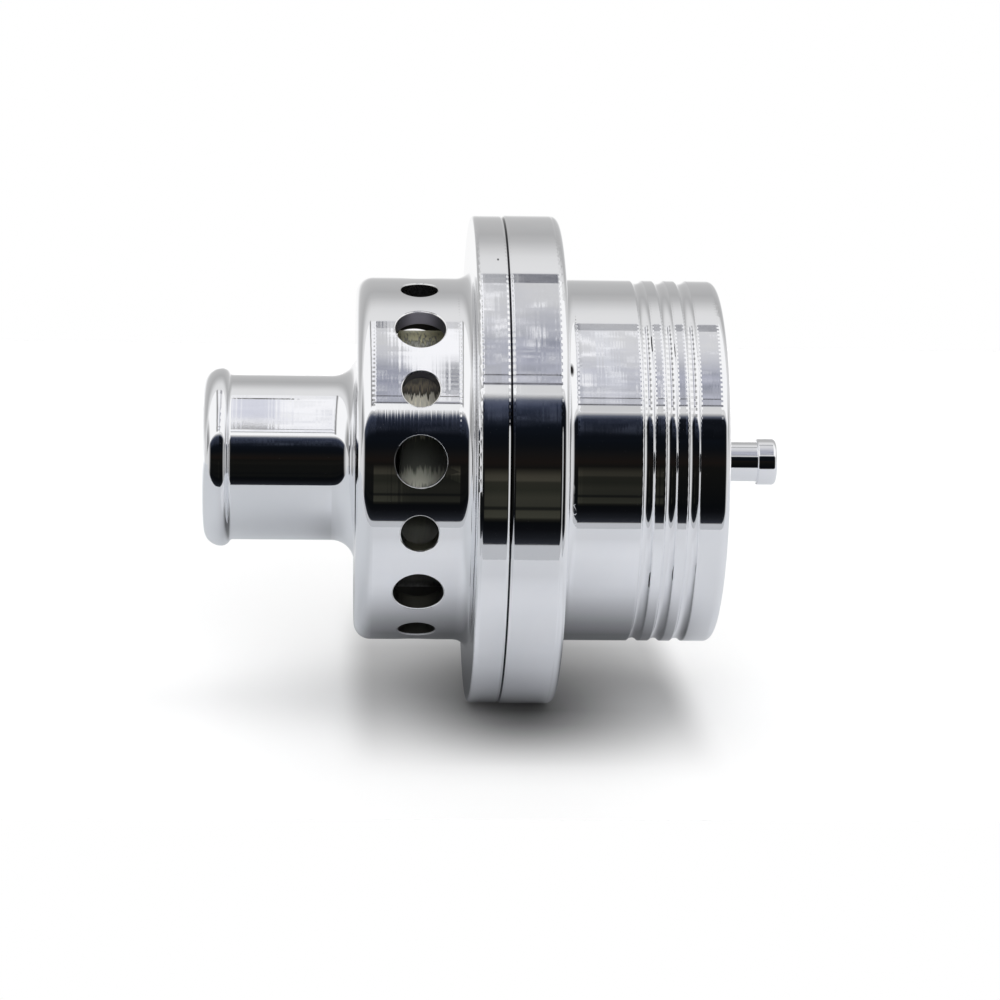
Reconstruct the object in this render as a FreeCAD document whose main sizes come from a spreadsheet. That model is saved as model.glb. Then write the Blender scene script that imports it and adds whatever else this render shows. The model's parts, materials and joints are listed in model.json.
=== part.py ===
# Blow off valve with one sprung piston, in millimetres.
#
# The valve's axis is X. The inlet spigot's end face is at X = 0 and the vacuum nipple points to +X.
# Boost pressure enters the spigot and stands on the piston's face. When vacuum behind the piston
# overcomes the spring, the piston slides to +X and the air leaves through the ring of vent holes.

import FreeCAD, Part
import Sketcher
import math
import os

V = FreeCAD.Vector

# Driving dimensions: alias, value and what it measures.
DIMENSIONS = [
    # Hose spigot
    ("spigot_diameter", 25.0, "hose spigot, outside"),
    ("spigot_length", 22.8, "spigot's end face to the drum"),
    ("spigot_wall", 2.5, "hose spigot, wall round the inlet bore"),
    ("bead_height", 1.0, "hose bead over the spigot, radial"),
    ("bead_length", 4.0, "hose bead along the axis"),
    ("bead_front_radius", 2.6, "lead-in round on the bead"),
    ("bead_root_radius", 0.4, "fillet between the bead and the tube"),
    # Drum of the vent body, and the cap cylinder of the same diameter
    ("drum_diameter", 55.0, "drum and cap cylinder, outside"),
    ("drum_length", 17.2, "drum's end to the flange"),
    ("drum_wall", 2.5, "drum, wall round the chamber"),
    ("drum_corner_radius", 2.5, "round on the drum's end"),
    ("spigot_fillet", 3.5, "fillet between spigot and drum"),
    ("seat_chamfer", 0.5, "chamfer where the inlet bore meets the seat"),
    # Flanges
    ("flange_overhang", 9.6, "cap flange beyond the drum and cap, radial"),
    ("flange_step", 0.1, "cap flange beyond the body flange, radial"),
    ("body_flange_thickness", 4.7, "flange of the vent body"),
    ("flange_edge_radius", 0.55, "round on the body flange's free edge"),
    ("drum_fillet", 2.2, "fillet between drum and flange"),
    ("seam_chamfer", 0.3, "chamfer on both flanges at the seam"),
    ("cap_flange_thickness", 8.4, "flange of the spring cap"),
    ("cap_flange_edge_radius", 1.2, "round on the cap flange's free edge"),
    # Vent holes
    ("vent_pairs", 8, "large and small vent holes, each"),
    ("large_vent", 7.5, "large vent hole, diameter"),
    ("small_vent", 5.6, "small vent hole, diameter"),
    ("vent_offset", 0.7, "ring of vent holes from the drum's middle, towards the flange"),
    ("vent_land", 0.1, "chamber floor to the large vent holes' edge"),
    ("roll", 8.0, "valve turned about its axis as it lies, in degrees"),
    ("vent_chamfer", 0.15, "chamfer round each vent hole"),
    # Spring cap
    ("cap_length", 24.0, "cap flange to the cap's end face"),
    ("cap_fillet", 1.7, "fillet between cap and flange"),
    ("cap_corner_radius", 1.2, "round on the cap's end"),
    ("end_wall", 6.0, "closed end of the cap"),
    ("nose_land", 2.0, "vent holes' edge to the end of the cap's nose"),
    ("register_clearance", 0.05, "radial, cap's nose in the chamber"),
    ("groove_count", 3, "grip grooves round the cap"),
    ("groove_width", 1.8, "grip groove at the surface"),
    ("groove_depth", 0.45, "grip groove"),
    ("groove_pitch", 3.3, "grip groove to grip groove"),
    ("groove_inset", 5.35, "cap's end face to the last grip groove"),
    ("groove_edge_radius", 0.25, "round on the grip grooves' edges"),
    # Piston
    ("piston_diameter", 39.0, "piston skirt, outside"),
    ("piston_clearance", 0.08, "radial, piston in its bore"),
    ("piston_stroke", 9.0, "seat to stop"),
    ("stop_clearance", 0.25, "skirt to the cap's end wall at full stroke"),
    ("crown_thickness", 3.5, "piston crown"),
    ("skirt_wall", 3.5, "piston skirt"),
    ("piston_edge", 0.3, "chamfer on the piston's edges"),
    ("boss_clearance", 0.85, "radial, boss that centres the spring, on the crown"),
    ("boss_height", 2.0, "boss that centres the spring, on the crown"),
    # Seals and guide ring
    ("seal_land", 1.0, "inlet bore to the face seal"),
    ("seal_width", 3.0, "face seal, across"),
    ("seal_thickness", 2.2, "face seal, along the axis"),
    ("seal_proud", 0.9, "face seal beyond the piston's face"),
    ("seal_corner", 0.3, "round on the face seal's edges"),
    ("ring_section", 1.8, "piston O-ring, thickness"),
    ("ring_inset", 4.0, "piston O-ring from the end of its stretch of bore or skirt"),
    ("ring_gap", 0.03, "radial, rings to the bore"),
    ("seat_gap", 0.02, "rings and shim to the grooves that hold them"),
    ("side_gap", 0.2, "O-rings to each side of their grooves"),
    ("wear_ring_width", 4.0, "guide ring, along the axis"),
    ("wear_ring_thickness", 1.0, "guide ring, radial"),
    ("flange_ring_section", 1.5, "flange O-ring, thickness"),
    ("flange_ring_land", 2.2, "chamber wall to the flange O-ring's groove"),
    # Return spring
    ("wire_diameter", 1.8, "spring wire"),
    ("coil_diameter", 22.5, "spring, centre of the wire"),
    ("active_turns", 5, "turns of the spring between its closed end turns"),
    ("end_grinding", 0.3, "ground off each end of the spring"),
    ("end_coil_gap", 0.1, "spring's end turn to the next turn"),
    ("shim_thickness", 1.0, "preload shim"),
    ("shim_margin", 0.65, "preload shim beyond the spring, radial"),
    ("shim_bore", 10.0, "preload shim, hole"),
    ("shim_clearance", 0.2, "radial, shim in its recess"),
    # Vacuum nipple
    ("nipple_diameter", 6.0, "nipple tube, outside"),
    ("nipple_bore", 3.4, "nipple tube, inside"),
    ("nipple_length", 10.0, "nipple beyond the cap's end face"),
    ("nipple_depth", 4.0, "nipple in the cap's end wall"),
    ("nipple_fit", 0.02, "radial, nipple in its hole"),
    ("nipple_bead_height", 0.5, "hose bead over the nipple, radial"),
    ("nipple_bead_length", 3.0, "hose bead on the nipple"),
    ("nipple_round", 0.6, "round on the nipple's end"),
    ("nipple_shoulder_round", 0.3, "round on the nipple bead's shoulder"),
    # Flange screws
    ("screw_count", 6, "flange screws"),
    ("screw_inset", 4.5, "cap flange's edge to the screws' pitch circle"),
    ("screw_diameter", 3.0, "screw thread"),
    ("hole_clearance", 0.2, "radial, screw in its clearance hole"),
    ("head_diameter", 5.5, "screw head"),
    ("head_height", 3.0, "screw head"),
    ("head_edge", 0.3, "round on the screw head"),
    ("socket_width", 2.5, "hexagon socket, across flats"),
    ("socket_depth", 1.3, "hexagon socket"),
    ("head_clearance", 0.25, "radial, screw head in its recess"),
    ("head_sink", 0.4, "screw head below the flange's face"),
    ("thread_skin", 0.8, "metal left under the threaded hole"),
    ("tip_gap", 0.3, "screw tip to the end of its hole"),
    ("thread_gap", 0.02, "radial, thread in its hole"),
    ("tip_chamfer", 0.4, "screw tip"),
]

doc = FreeCAD.newDocument("BlowOffValve")
sheet = doc.addObject("Spreadsheet::Sheet", "Sizes")
for row, (alias, value, meaning) in enumerate(DIMENSIONS, start=1):
    sheet.set(f"A{row}", meaning)
    sheet.set(f"B{row}", str(value))
    sheet.setAlias(f"B{row}", alias)
doc.recompute()


def size(alias):
    return f"Sizes.{alias}"


def half(alias):
    return f"Sizes.{alias} / 2"


def add(*terms):
    return "(" + " + ".join(terms) + ")"


def less(first, *others):
    return "(" + " - ".join((first,) + others) + ")"


def number(expression):
    return float(sheet.evalExpression(expression))


def bow_radius(run, rise):
    """Radius of an arc that starts level and falls by rise over run."""
    return f"({run}^2 + {rise}^2) / (2 * {rise})"


# Stations along the axis, each worked out from the sheet
DRUM_FACE = size("spigot_length")
VENT_RING = add(DRUM_FACE, half("drum_length"), size("vent_offset"))
FLOOR = less(VENT_RING, half("large_vent"), size("vent_land"))
FLANGE_FACE = add(DRUM_FACE, size("drum_length"))
SEAM = add(FLANGE_FACE, size("body_flange_thickness"))
CAP_FLANGE_FACE = add(SEAM, size("cap_flange_thickness"))
CAP_END = add(CAP_FLANGE_FACE, size("cap_length"))
CAP_INSIDE = less(CAP_END, size("end_wall"))
NOSE_END = add(VENT_RING, half("large_vent"), size("nose_land"))
PISTON_FACE = add(FLOOR, size("seal_proud"))
PISTON_TAIL = less(CAP_INSIDE, size("piston_stroke"), size("stop_clearance"))
CROWN_INSIDE = add(PISTON_FACE, size("crown_thickness"))
FRONT_RING = add(NOSE_END, size("ring_inset"))
REAR_RING = less(PISTON_TAIL, size("ring_inset"))
HEAD_SEAT = less(CAP_FLANGE_FACE, size("head_height"), size("head_sink"))
HOLE_END = add(FLANGE_FACE, size("thread_skin"))

# Radii from the valve's axis that two pieces or features share
BORE_RADIUS = less(half("spigot_diameter"), size("spigot_wall"))
DRUM_RADIUS = half("drum_diameter")
CHAMBER_RADIUS = less(DRUM_RADIUS, size("drum_wall"))
CAP_FLANGE_RADIUS = add(DRUM_RADIUS, size("flange_overhang"))
SCREW_CIRCLE_RADIUS = less(CAP_FLANGE_RADIUS, size("screw_inset"))
PISTON_RADIUS = half("piston_diameter")
GUIDE_RADIUS = add(PISTON_RADIUS, size("piston_clearance"))
RING_RADIUS = less(GUIDE_RADIUS, size("ring_gap"))
SEAL_INNER = add(BORE_RADIUS, size("seal_land"))
SEAL_OUTER = add(SEAL_INNER, size("seal_width"))
SHIM_RADIUS = add(half("coil_diameter"), half("wire_diameter"), size("shim_margin"))
NIPPLE_HOLE_RADIUS = add(half("nipple_diameter"), size("nipple_fit"))
FLANGE_RING_INNER = add(CHAMBER_RADIUS, size("flange_ring_land"))
FLANGE_RING_GROOVE = add(size("flange_ring_section"), size("side_gap"), size("side_gap"))
FLANGE_RING_RADIUS = add(FLANGE_RING_INNER, f"{FLANGE_RING_GROOVE} / 2")


def new_body(label):
    body = doc.addObject("PartDesign::Body", label)
    body.Label = label
    return body


def origin_feature(body, role):
    return next(item for item in body.Origin.OriginFeatures if item.Role == role)


def new_sketch(body, name, plane):
    sketch = body.newObject("Sketcher::SketchObject", name)
    sketch.AttachmentSupport = (origin_feature(body, plane), [""])
    sketch.MapMode = "FlatFace"
    return sketch


def bind(sketch, index, name, expression):
    sketch.renameConstraint(index, name)
    sketch.setExpression(f"Constraints.{name}", expression)


def hold_point(sketch, name, geometry, end, along, across):
    """Tie one end of a curve to its distances from the sketch's origin."""
    for kind, axis, expression in (("DistanceX", -2, along), ("DistanceY", -1, across)):
        if expression == "0":
            sketch.addConstraint(Sketcher.Constraint("PointOnObject", geometry, end, axis))
            continue
        distance = Sketcher.Constraint(kind, -1, 1, geometry, end, number(expression))
        bind(sketch, sketch.addConstraint(distance), f"{name}{kind[-1]}", expression)


def stepped(expression, direction, amount):
    if direction > 0:
        return add(expression, amount)
    return less(expression, amount) if direction < 0 else expression


def unit(start, end):
    run = math.hypot(end[0] - start[0], end[1] - start[1])
    return ((end[0] - start[0]) / run, (end[1] - start[1]) / run)


def rounded_outline(corners):
    """Vertices of the outline as (along, across) expressions, with a radius where an arc starts.

    A corner is (along, across) or (along, across, radius). A rounded one lies between a level
    and an upright line, so its round starts and ends one radius away along each of them.
    A corner (along, across, radius, turn) starts an arc that ends at the next corner.
    """
    places = [(number(corner[0]), number(corner[1])) for corner in corners]
    vertices = []
    for index, corner in enumerate(corners):
        if len(corner) != 3:
            vertices.append(corner if len(corner) == 4 else corner + (None, 0))
            continue
        along, across, radius = corner
        inward = [round(part) for part in unit(places[index - 1], places[index])]
        outward = [round(part) for part in unit(places[index], places[(index + 1) % len(places)])]
        turn = inward[0] * outward[1] - inward[1] * outward[0]
        start = (stepped(along, -inward[0], radius), stepped(across, -inward[1], radius))
        end = (stepped(along, outward[0], radius), stepped(across, outward[1], radius))
        vertices.append(start + (radius, turn))
        vertices.append(end + (None, 0))
    return vertices


def arc_between(start, end, radius, turn):
    """Arc from start to end, turning left if turn is positive."""
    middle = V((start.x + end.x) / 2, (start.y + end.y) / 2, 0)
    chord = end - start
    normal = V(-chord.y, chord.x, 0) * turn
    centre = middle + normal.normalize() * math.sqrt(radius ** 2 - (chord.Length / 2) ** 2)
    first, last = (start, end) if turn > 0 else (end, start)
    angles = [math.atan2(point.y - centre.y, point.x - centre.x) for point in (first, last)]
    return Part.ArcOfCircle(Part.Circle(centre, V(0, 0, 1), radius), *angles)


def outline_sketch(body, name, corners, plane="XZ_Plane"):
    """Closed outline through the corners, every corner tied to the sheet."""
    sketch = new_sketch(body, name, plane)
    vertices = rounded_outline(corners)
    points = [V(number(along), number(across), 0) for along, across, _, _ in vertices]
    ends = []
    for index, (_, _, radius, turn) in enumerate(vertices):
        start = points[index]
        end = points[(index + 1) % len(points)]
        if radius is None:
            ends.append((sketch.addGeometry(Part.LineSegment(start, end)), 1, 2))
            continue
        curve = sketch.addGeometry(arc_between(start, end, number(radius), turn))
        ends.append((curve, 1, 2) if turn > 0 else (curve, 2, 1))
        bow = sketch.addConstraint(Sketcher.Constraint("Radius", curve, number(radius)))
        bind(sketch, bow, f"round{index}", radius)
    for index, (along, across, _, _) in enumerate(vertices):
        curve, start_end, _ = ends[index]
        before, _, last_end = ends[index - 1]
        sketch.addConstraint(Sketcher.Constraint("Coincident", before, last_end, curve, start_end))
        hold_point(sketch, f"corner{index}", curve, start_end, along, across)
    return sketch


def circle_sketch(body, name, plane, along, across, radius):
    sketch = new_sketch(body, name, plane)
    centre = V(number(along), number(across), 0)
    circle = sketch.addGeometry(Part.Circle(centre, V(0, 0, 1), number(radius)))
    hold_point(sketch, "centre", circle, 3, along, across)
    bow = sketch.addConstraint(Sketcher.Constraint("Radius", circle, number(radius)))
    bind(sketch, bow, "radius", radius)
    return sketch


def hexagon_sketch(body, name, plane, corner_radius):
    """Regular hexagon about the sketch's origin, held by the circle through its corners."""
    sketch = new_sketch(body, name, plane)
    reach = number(corner_radius)
    turns = [math.radians(60 * step) for step in range(6)]
    corners = [V(reach * math.cos(turn), reach * math.sin(turn), 0) for turn in turns]
    for step, corner in enumerate(corners):
        sketch.addGeometry(Part.LineSegment(corner, corners[(step + 1) % 6]))
    circle = sketch.addGeometry(Part.Circle(V(0, 0, 0), V(0, 0, 1), reach), True)
    sketch.addConstraint(Sketcher.Constraint("Coincident", circle, 3, -1, 1))
    bow = sketch.addConstraint(Sketcher.Constraint("Radius", circle, reach))
    bind(sketch, bow, "corner_radius", corner_radius)
    for step in range(6):
        sketch.addConstraint(Sketcher.Constraint("Coincident", step, 2, (step + 1) % 6, 1))
        sketch.addConstraint(Sketcher.Constraint("PointOnObject", step, 1, circle))
    for step in range(5):
        sketch.addConstraint(Sketcher.Constraint("Equal", step, step + 1))
    sketch.addConstraint(Sketcher.Constraint("PointOnObject", 0, 1, -1))
    return sketch


def revolve(body, name, corners):
    """Turn a half-section about the valve's axis."""
    sketch = outline_sketch(body, name + "_section", corners)
    turned = body.newObject("PartDesign::Revolution", name)
    turned.Profile = sketch
    turned.ReferenceAxis = (sketch, ["H_Axis"])
    turned.Angle = 360
    doc.recompute()
    return turned


def turned_groove(body, name, sketch):
    groove = body.newObject("PartDesign::Groove", name)
    groove.Profile = sketch
    groove.ReferenceAxis = (origin_feature(body, "X_Axis"), [""])
    groove.Angle = 360
    doc.recompute()
    return groove


def square_groove(body, name, start, end, bottom, top):
    corners = [(start, bottom), (start, top), (end, top), (end, bottom)]
    return turned_groove(body, name, outline_sketch(body, name + "_section", corners))


def drill(body, name, sketch, depth, reverse=False):
    hole = body.newObject("PartDesign::Pocket", name)
    hole.Profile = sketch
    hole.Type = "Length"
    hole.setExpression("Length", depth)
    hole.Reversed = reverse
    doc.recompute()
    return hole


def screw_hole_sketch(body, name, station, radius):
    """Circle of the first flange screw's hole, on the plane across the axis at the station."""
    sketch = circle_sketch(body, name, "YZ_Plane", SCREW_CIRCLE_RADIUS, "0", radius)
    sketch.setExpression(".AttachmentOffset.Base.z", station)
    sketch.setExpression(".AttachmentOffset.Rotation.Angle", f"-{size('roll')}")
    return sketch


def repeat_round_axis(body, name, features, count):
    pattern = body.newObject("PartDesign::PolarPattern", name)
    pattern.Originals = features
    pattern.Axis = (origin_feature(body, "X_Axis"), [""])
    pattern.Angle = 360
    pattern.setExpression("Occurrences", count)
    body.Tip = pattern
    doc.recompute()
    return pattern


def radius_at(point):
    return math.hypot(point.y, point.z)


def edges_where(shape, wanted):
    return [f"Edge{index}" for index, edge in enumerate(shape.Edges, start=1) if wanted(edge)]


def dress_edges(body, kind, name, base, edges, expression):
    """Round or chamfer the named edges of the base feature."""
    dressed = body.newObject(kind, name)
    dressed.Base = (base, edges)
    dressed.setExpression("Radius" if kind.endswith("Fillet") else "Size", expression)
    body.Tip = dressed
    doc.recompute()
    return dressed


def make_vent_body():
    """Spigot, drum and thin flange, turned from one piece, with the ring of vent holes."""
    body = new_body("vent_body")
    spigot = half("spigot_diameter")
    bead = add(spigot, size("bead_height"))
    flange = less(CAP_FLANGE_RADIUS, size("flange_step"))
    chamfer = size("seam_chamfer")
    lead_in = size("bead_front_radius")
    back = bow_radius(less(size("bead_length"), lead_in), size("bead_height"))
    turned = revolve(body, "body_turning", [
        ("0", BORE_RADIUS),
        ("0", less(bead, lead_in), lead_in, -1),
        (lead_in, bead, back, -1),
        (size("bead_length"), spigot),
        (DRUM_FACE, spigot, size("spigot_fillet")),
        (DRUM_FACE, DRUM_RADIUS, size("drum_corner_radius")),
        (FLANGE_FACE, DRUM_RADIUS, size("drum_fillet")),
        (FLANGE_FACE, flange, size("flange_edge_radius")),
        (less(SEAM, chamfer), flange),
        (SEAM, less(flange, chamfer)),
        (SEAM, CHAMBER_RADIUS),
        (FLOOR, CHAMBER_RADIUS),
        (FLOOR, add(BORE_RADIUS, size("seat_chamfer"))),
        (less(FLOOR, size("seat_chamfer")), BORE_RADIUS),
    ])

    bead_end = number(size("bead_length"))

    def is_bead_root(edge):
        box = edge.BoundBox
        return box.XLength < 0.01 and abs(box.Center.x - bead_end) < 0.01

    root = edges_where(turned.Shape, is_bead_root)
    turned = dress_edges(body, "PartDesign::Fillet", "bead_root", turned, root, size("bead_root_radius"))

    for name, diameter, turn in (("large_vents", "large_vent", 0), ("small_vents", "small_vent", 0.5)):
        sketch = circle_sketch(body, name + "_circle", "XY_Plane", VENT_RING, "0", half(diameter))
        sketch.AttachmentOffset = FreeCAD.Placement(V(0, 0, 0), FreeCAD.Rotation(V(1, 0, 0), 1))
        angle = f"90 - {size('roll')} + {turn} * 360 / {size('vent_pairs')}"
        sketch.setExpression(".AttachmentOffset.Rotation.Angle", angle)
        hole = drill(body, name + "_first", sketch, size("drum_diameter"), reverse=True)
        turned = repeat_round_axis(body, name, [hole], size("vent_pairs"))

    outside = number(DRUM_RADIUS)
    ring = number(VENT_RING)
    reach = number(size("large_vent"))

    def is_vent_rim(edge):
        box = edge.BoundBox
        on_drum = all(abs(radius_at(point) - outside) < 0.01 for point in edge.discretize(9))
        return on_drum and abs(box.Center.x - ring) < reach and 0.1 < box.XLength < 1.1 * reach

    rims = edges_where(turned.Shape, is_vent_rim)
    dress_edges(body, "PartDesign::Chamfer", "vent_rims", turned, rims, size("vent_chamfer"))

    thread_radius = add(half("screw_diameter"), size("thread_gap"))
    thread = screw_hole_sketch(body, "thread_circle", SEAM, thread_radius)
    hole = drill(body, "thread_hole", thread, less(SEAM, HOLE_END))
    repeat_round_axis(body, "thread_holes", [hole], size("screw_count"))
    return body


def make_spring_cap():
    """Thick flange, cap cylinder with its grip grooves, and the nose that enters the drum."""
    body = new_body("spring_cap")
    nose = less(CHAMBER_RADIUS, size("register_clearance"))
    chamfer = size("seam_chamfer")
    passage = half("nipple_bore")
    nipple_seat = less(CAP_END, size("nipple_depth"))
    recess = add(SHIM_RADIUS, size("shim_clearance"))
    recess_end = add(CAP_INSIDE, size("shim_thickness"))
    turned = revolve(body, "cap_turning", [
        (NOSE_END, GUIDE_RADIUS),
        (NOSE_END, less(nose, chamfer)),
        (add(NOSE_END, chamfer), nose),
        (SEAM, nose),
        (SEAM, less(CAP_FLANGE_RADIUS, chamfer)),
        (add(SEAM, chamfer), CAP_FLANGE_RADIUS),
        (CAP_FLANGE_FACE, CAP_FLANGE_RADIUS, size("cap_flange_edge_radius")),
        (CAP_FLANGE_FACE, DRUM_RADIUS, size("cap_fillet")),
        (CAP_END, DRUM_RADIUS, size("cap_corner_radius")),
        (CAP_END, NIPPLE_HOLE_RADIUS),
        (nipple_seat, NIPPLE_HOLE_RADIUS),
        (nipple_seat, passage),
        (recess_end, passage),
        (recess_end, recess),
        (CAP_INSIDE, recess),
        (CAP_INSIDE, GUIDE_RADIUS),
    ])

    # A groove is a round tool's cut: the tool's radius follows from the groove's width and depth.
    depth = size("groove_depth")
    tool = bow_radius(f"({half('groove_width')})", depth)
    tool_centre = f"{DRUM_RADIUS} + {tool} - {depth}"
    grooved_length = f"({size('groove_count')} - 1) * {size('groove_pitch')}"
    first_groove = less(CAP_END, size("groove_inset"), grooved_length)
    section = circle_sketch(body, "grip_section", "XZ_Plane", first_groove, tool_centre, tool)
    cut = turned_groove(body, "grip_groove", section)
    grooves = body.newObject("PartDesign::LinearPattern", "grip_grooves")
    grooves.Originals = [cut]
    grooves.Direction = (origin_feature(body, "X_Axis"), [""])
    grooves.Mode = "Spacing"
    grooves.setExpression("Offset", size("groove_pitch"))
    grooves.setExpression("Occurrences", size("groove_count"))
    body.Tip = grooves
    doc.recompute()

    outside = number(DRUM_RADIUS)
    groove_start = number(less(first_groove, size("groove_width")))
    groove_end = number(less(CAP_END, size("cap_corner_radius"))) - 0.1

    def is_groove_edge(edge):
        box = edge.BoundBox
        on_cap = all(abs(radius_at(point) - outside) < 0.001 for point in edge.discretize(5))
        return on_cap and box.XLength < 0.01 and groove_start < box.Center.x < groove_end

    edges = edges_where(grooves.Shape, is_groove_edge)
    dress_edges(body, "PartDesign::Fillet", "grip_edges", grooves, edges, size("groove_edge_radius"))

    square_groove(body, "flange_ring_groove", SEAM,
                  add(SEAM, size("flange_ring_section"), size("seat_gap")),
                  FLANGE_RING_INNER, add(FLANGE_RING_INNER, FLANGE_RING_GROOVE))

    head_recess = add(half("head_diameter"), size("head_clearance"))
    head = screw_hole_sketch(body, "head_circle", CAP_FLANGE_FACE, head_recess)
    counterbore = drill(body, "counterbore", head, less(CAP_FLANGE_FACE, HEAD_SEAT))
    shank_hole = add(half("screw_diameter"), size("hole_clearance"))
    shank = screw_hole_sketch(body, "shank_circle", CAP_FLANGE_FACE, shank_hole)
    clearance_hole = drill(body, "clearance_hole", shank, size("cap_flange_thickness"))
    repeat_round_axis(body, "screw_holes", [counterbore, clearance_hole], size("screw_count"))
    return body


def make_vacuum_nipple():
    """Beaded tube pressed into the cap's end wall."""
    body = new_body("vacuum_nipple")
    bore = half("nipple_bore")
    tube = half("nipple_diameter")
    bead = add(tube, size("nipple_bead_height"))
    start = less(CAP_END, size("nipple_depth"))
    tip = add(CAP_END, size("nipple_length"))
    revolve(body, "nipple_turning", [
        (start, bore),
        (start, tube),
        (less(tip, size("nipple_bead_length")), tube),
        (less(tip, size("nipple_bead_length")), bead, size("nipple_shoulder_round")),
        (tip, bead, size("nipple_round")),
        (tip, bore),
    ])
    return body


def make_piston():
    """Cup with a flat crown, grooves for its two O-rings and guide ring, and the seal's groove."""
    body = new_body("piston")
    inside = less(PISTON_RADIUS, size("skirt_wall"))
    edge = size("piston_edge")
    boss = less(half("coil_diameter"), half("wire_diameter"), size("boss_clearance"))
    boss_top = add(CROWN_INSIDE, size("boss_height"))
    seal_bottom = add(PISTON_FACE, less(size("seal_thickness"), size("seal_proud")))
    revolve(body, "piston_turning", [
        (PISTON_FACE, "0"),
        (PISTON_FACE, SEAL_INNER),
        (seal_bottom, SEAL_INNER),
        (seal_bottom, SEAL_OUTER),
        (PISTON_FACE, SEAL_OUTER),
        (PISTON_FACE, less(PISTON_RADIUS, edge)),
        (add(PISTON_FACE, edge), PISTON_RADIUS),
        (less(PISTON_TAIL, edge), PISTON_RADIUS),
        (PISTON_TAIL, less(PISTON_RADIUS, edge)),
        (PISTON_TAIL, inside),
        (CROWN_INSIDE, inside),
        (CROWN_INSIDE, boss),
        (boss_top, boss),
        (boss_top, "0"),
    ])
    over_skirt = add(PISTON_RADIUS, size("skirt_wall"))
    reach = add(half("ring_section"), size("side_gap"))
    bottom = less(RING_RADIUS, size("ring_section"), size("seat_gap"))
    for name, centre in (("front_groove", FRONT_RING), ("rear_groove", REAR_RING)):
        square_groove(body, name, less(centre, reach), add(centre, reach), bottom, over_skirt)
    start, end = wear_ring_span(size("seat_gap"))
    bottom = less(RING_RADIUS, size("wear_ring_thickness"), size("seat_gap"))
    square_groove(body, "wear_ring_groove", start, end, bottom, over_skirt)
    return body


def wear_ring_span(margin):
    """Guide ring's two ends, midway between the O-rings, each widened by the margin."""
    middle = f"({FRONT_RING} + {REAR_RING}) / 2"
    reach = add(half("wear_ring_width"), margin)
    return less(middle, reach), add(middle, reach)


def make_wear_ring():
    body = new_body("wear_ring")
    start, end = wear_ring_span("0")
    inside = less(RING_RADIUS, size("wear_ring_thickness"))
    revolve(body, "wear_ring_turning", [
        (start, inside), (start, RING_RADIUS), (end, RING_RADIUS), (end, inside),
    ])
    return body


def make_face_seal():
    """Flat rubber ring that stands proud of the crown and closes on the chamber floor."""
    body = new_body("face_seal")
    corner = size("seal_corner")
    back = add(FLOOR, size("seal_thickness"))
    revolve(body, "seal_turning", [
        (FLOOR, add(SEAL_INNER, size("seat_gap")), corner),
        (FLOOR, less(SEAL_OUTER, size("seat_gap")), corner),
        (back, less(SEAL_OUTER, size("seat_gap"))),
        (back, add(SEAL_INNER, size("seat_gap"))),
    ])
    return body


def make_o_ring(label, station, outer_radius, section):
    """Round ring about the valve's axis, its centre plane at the station."""
    ring = doc.addObject("Part::Torus", label)
    ring.Label = label
    ring.setExpression("Radius1", f"{outer_radius} - {section} / 2")
    ring.setExpression("Radius2", f"{section} / 2")
    ring.Placement = FreeCAD.Placement(V(0, 0, 0), FreeCAD.Rotation(V(0, 1, 0), 90))
    ring.setExpression(".Placement.Base.x", station)
    return ring


def make_half_turn(index, start, rise):
    """Half a turn of wire as a tilted half ring, level at both ends, so that the next one runs on."""
    half_turn = doc.addObject("Part::Torus", f"half_turn_{index}")
    coil_radius = half("coil_diameter")
    half_turn.setExpression("Radius1", f"sqrt(({coil_radius})^2 + ({rise} / 2)^2)")
    half_turn.setExpression("Radius2", half("wire_diameter"))
    half_turn.Angle3 = 180
    half_turn.setExpression(".Placement.Base.z", f"{start} + {rise} / 2")
    side = 180 * (index % 2)
    tilt = f"atan({rise} / 2 / ({coil_radius}))"
    half_turn.setExpression(".Placement.Rotation", f"create(<<rotation>>; {side}; {tilt}; 0)")
    return half_turn


def make_return_spring():
    """Coil spring between crown and shim, with closed end turns that are ground flat."""
    length = less(CAP_INSIDE, CROWN_INSIDE)
    first = less(half("wire_diameter"), size("end_grinding"))
    closed_rise = add(size("wire_diameter"), size("end_coil_gap"))
    active_rise = f"({length} - 2 * {first} - 2 * {closed_rise}) / (2 * {size('active_turns')})"
    active_halves = 2 * int(number(size("active_turns")))
    rises = ["0", closed_rise] + [active_rise] * active_halves + [closed_rise, "0"]

    half_turns = []
    height = first
    for index, rise in enumerate(rises):
        half_turns.append(make_half_turn(index, height, rise))
        height = add(height, rise)
    winding = doc.addObject("Part::MultiFuse", "winding")
    winding.Shapes = half_turns

    between_seats = doc.addObject("Part::Cylinder", "between_seats")
    between_seats.setExpression("Radius", add(half("coil_diameter"), size("wire_diameter")))
    between_seats.setExpression("Height", length)

    spring = doc.addObject("Part::Common", "return_spring")
    spring.Label = "return_spring"
    spring.Base = winding
    spring.Tool = between_seats
    spring.Placement = FreeCAD.Placement(V(0, 0, 0), FreeCAD.Rotation(V(0, 1, 0), 90))
    spring.setExpression(".Placement.Base.x", CROWN_INSIDE)
    return spring


def make_preload_shim():
    """Washer in the recess of the cap's end wall, flush with it, under the spring."""
    body = new_body("preload_shim")
    end = add(CAP_INSIDE, size("shim_thickness"))
    revolve(body, "shim_turning", [
        (CAP_INSIDE, half("shim_bore")),
        (CAP_INSIDE, SHIM_RADIUS),
        (end, SHIM_RADIUS),
        (end, half("shim_bore")),
    ])
    return body


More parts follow.
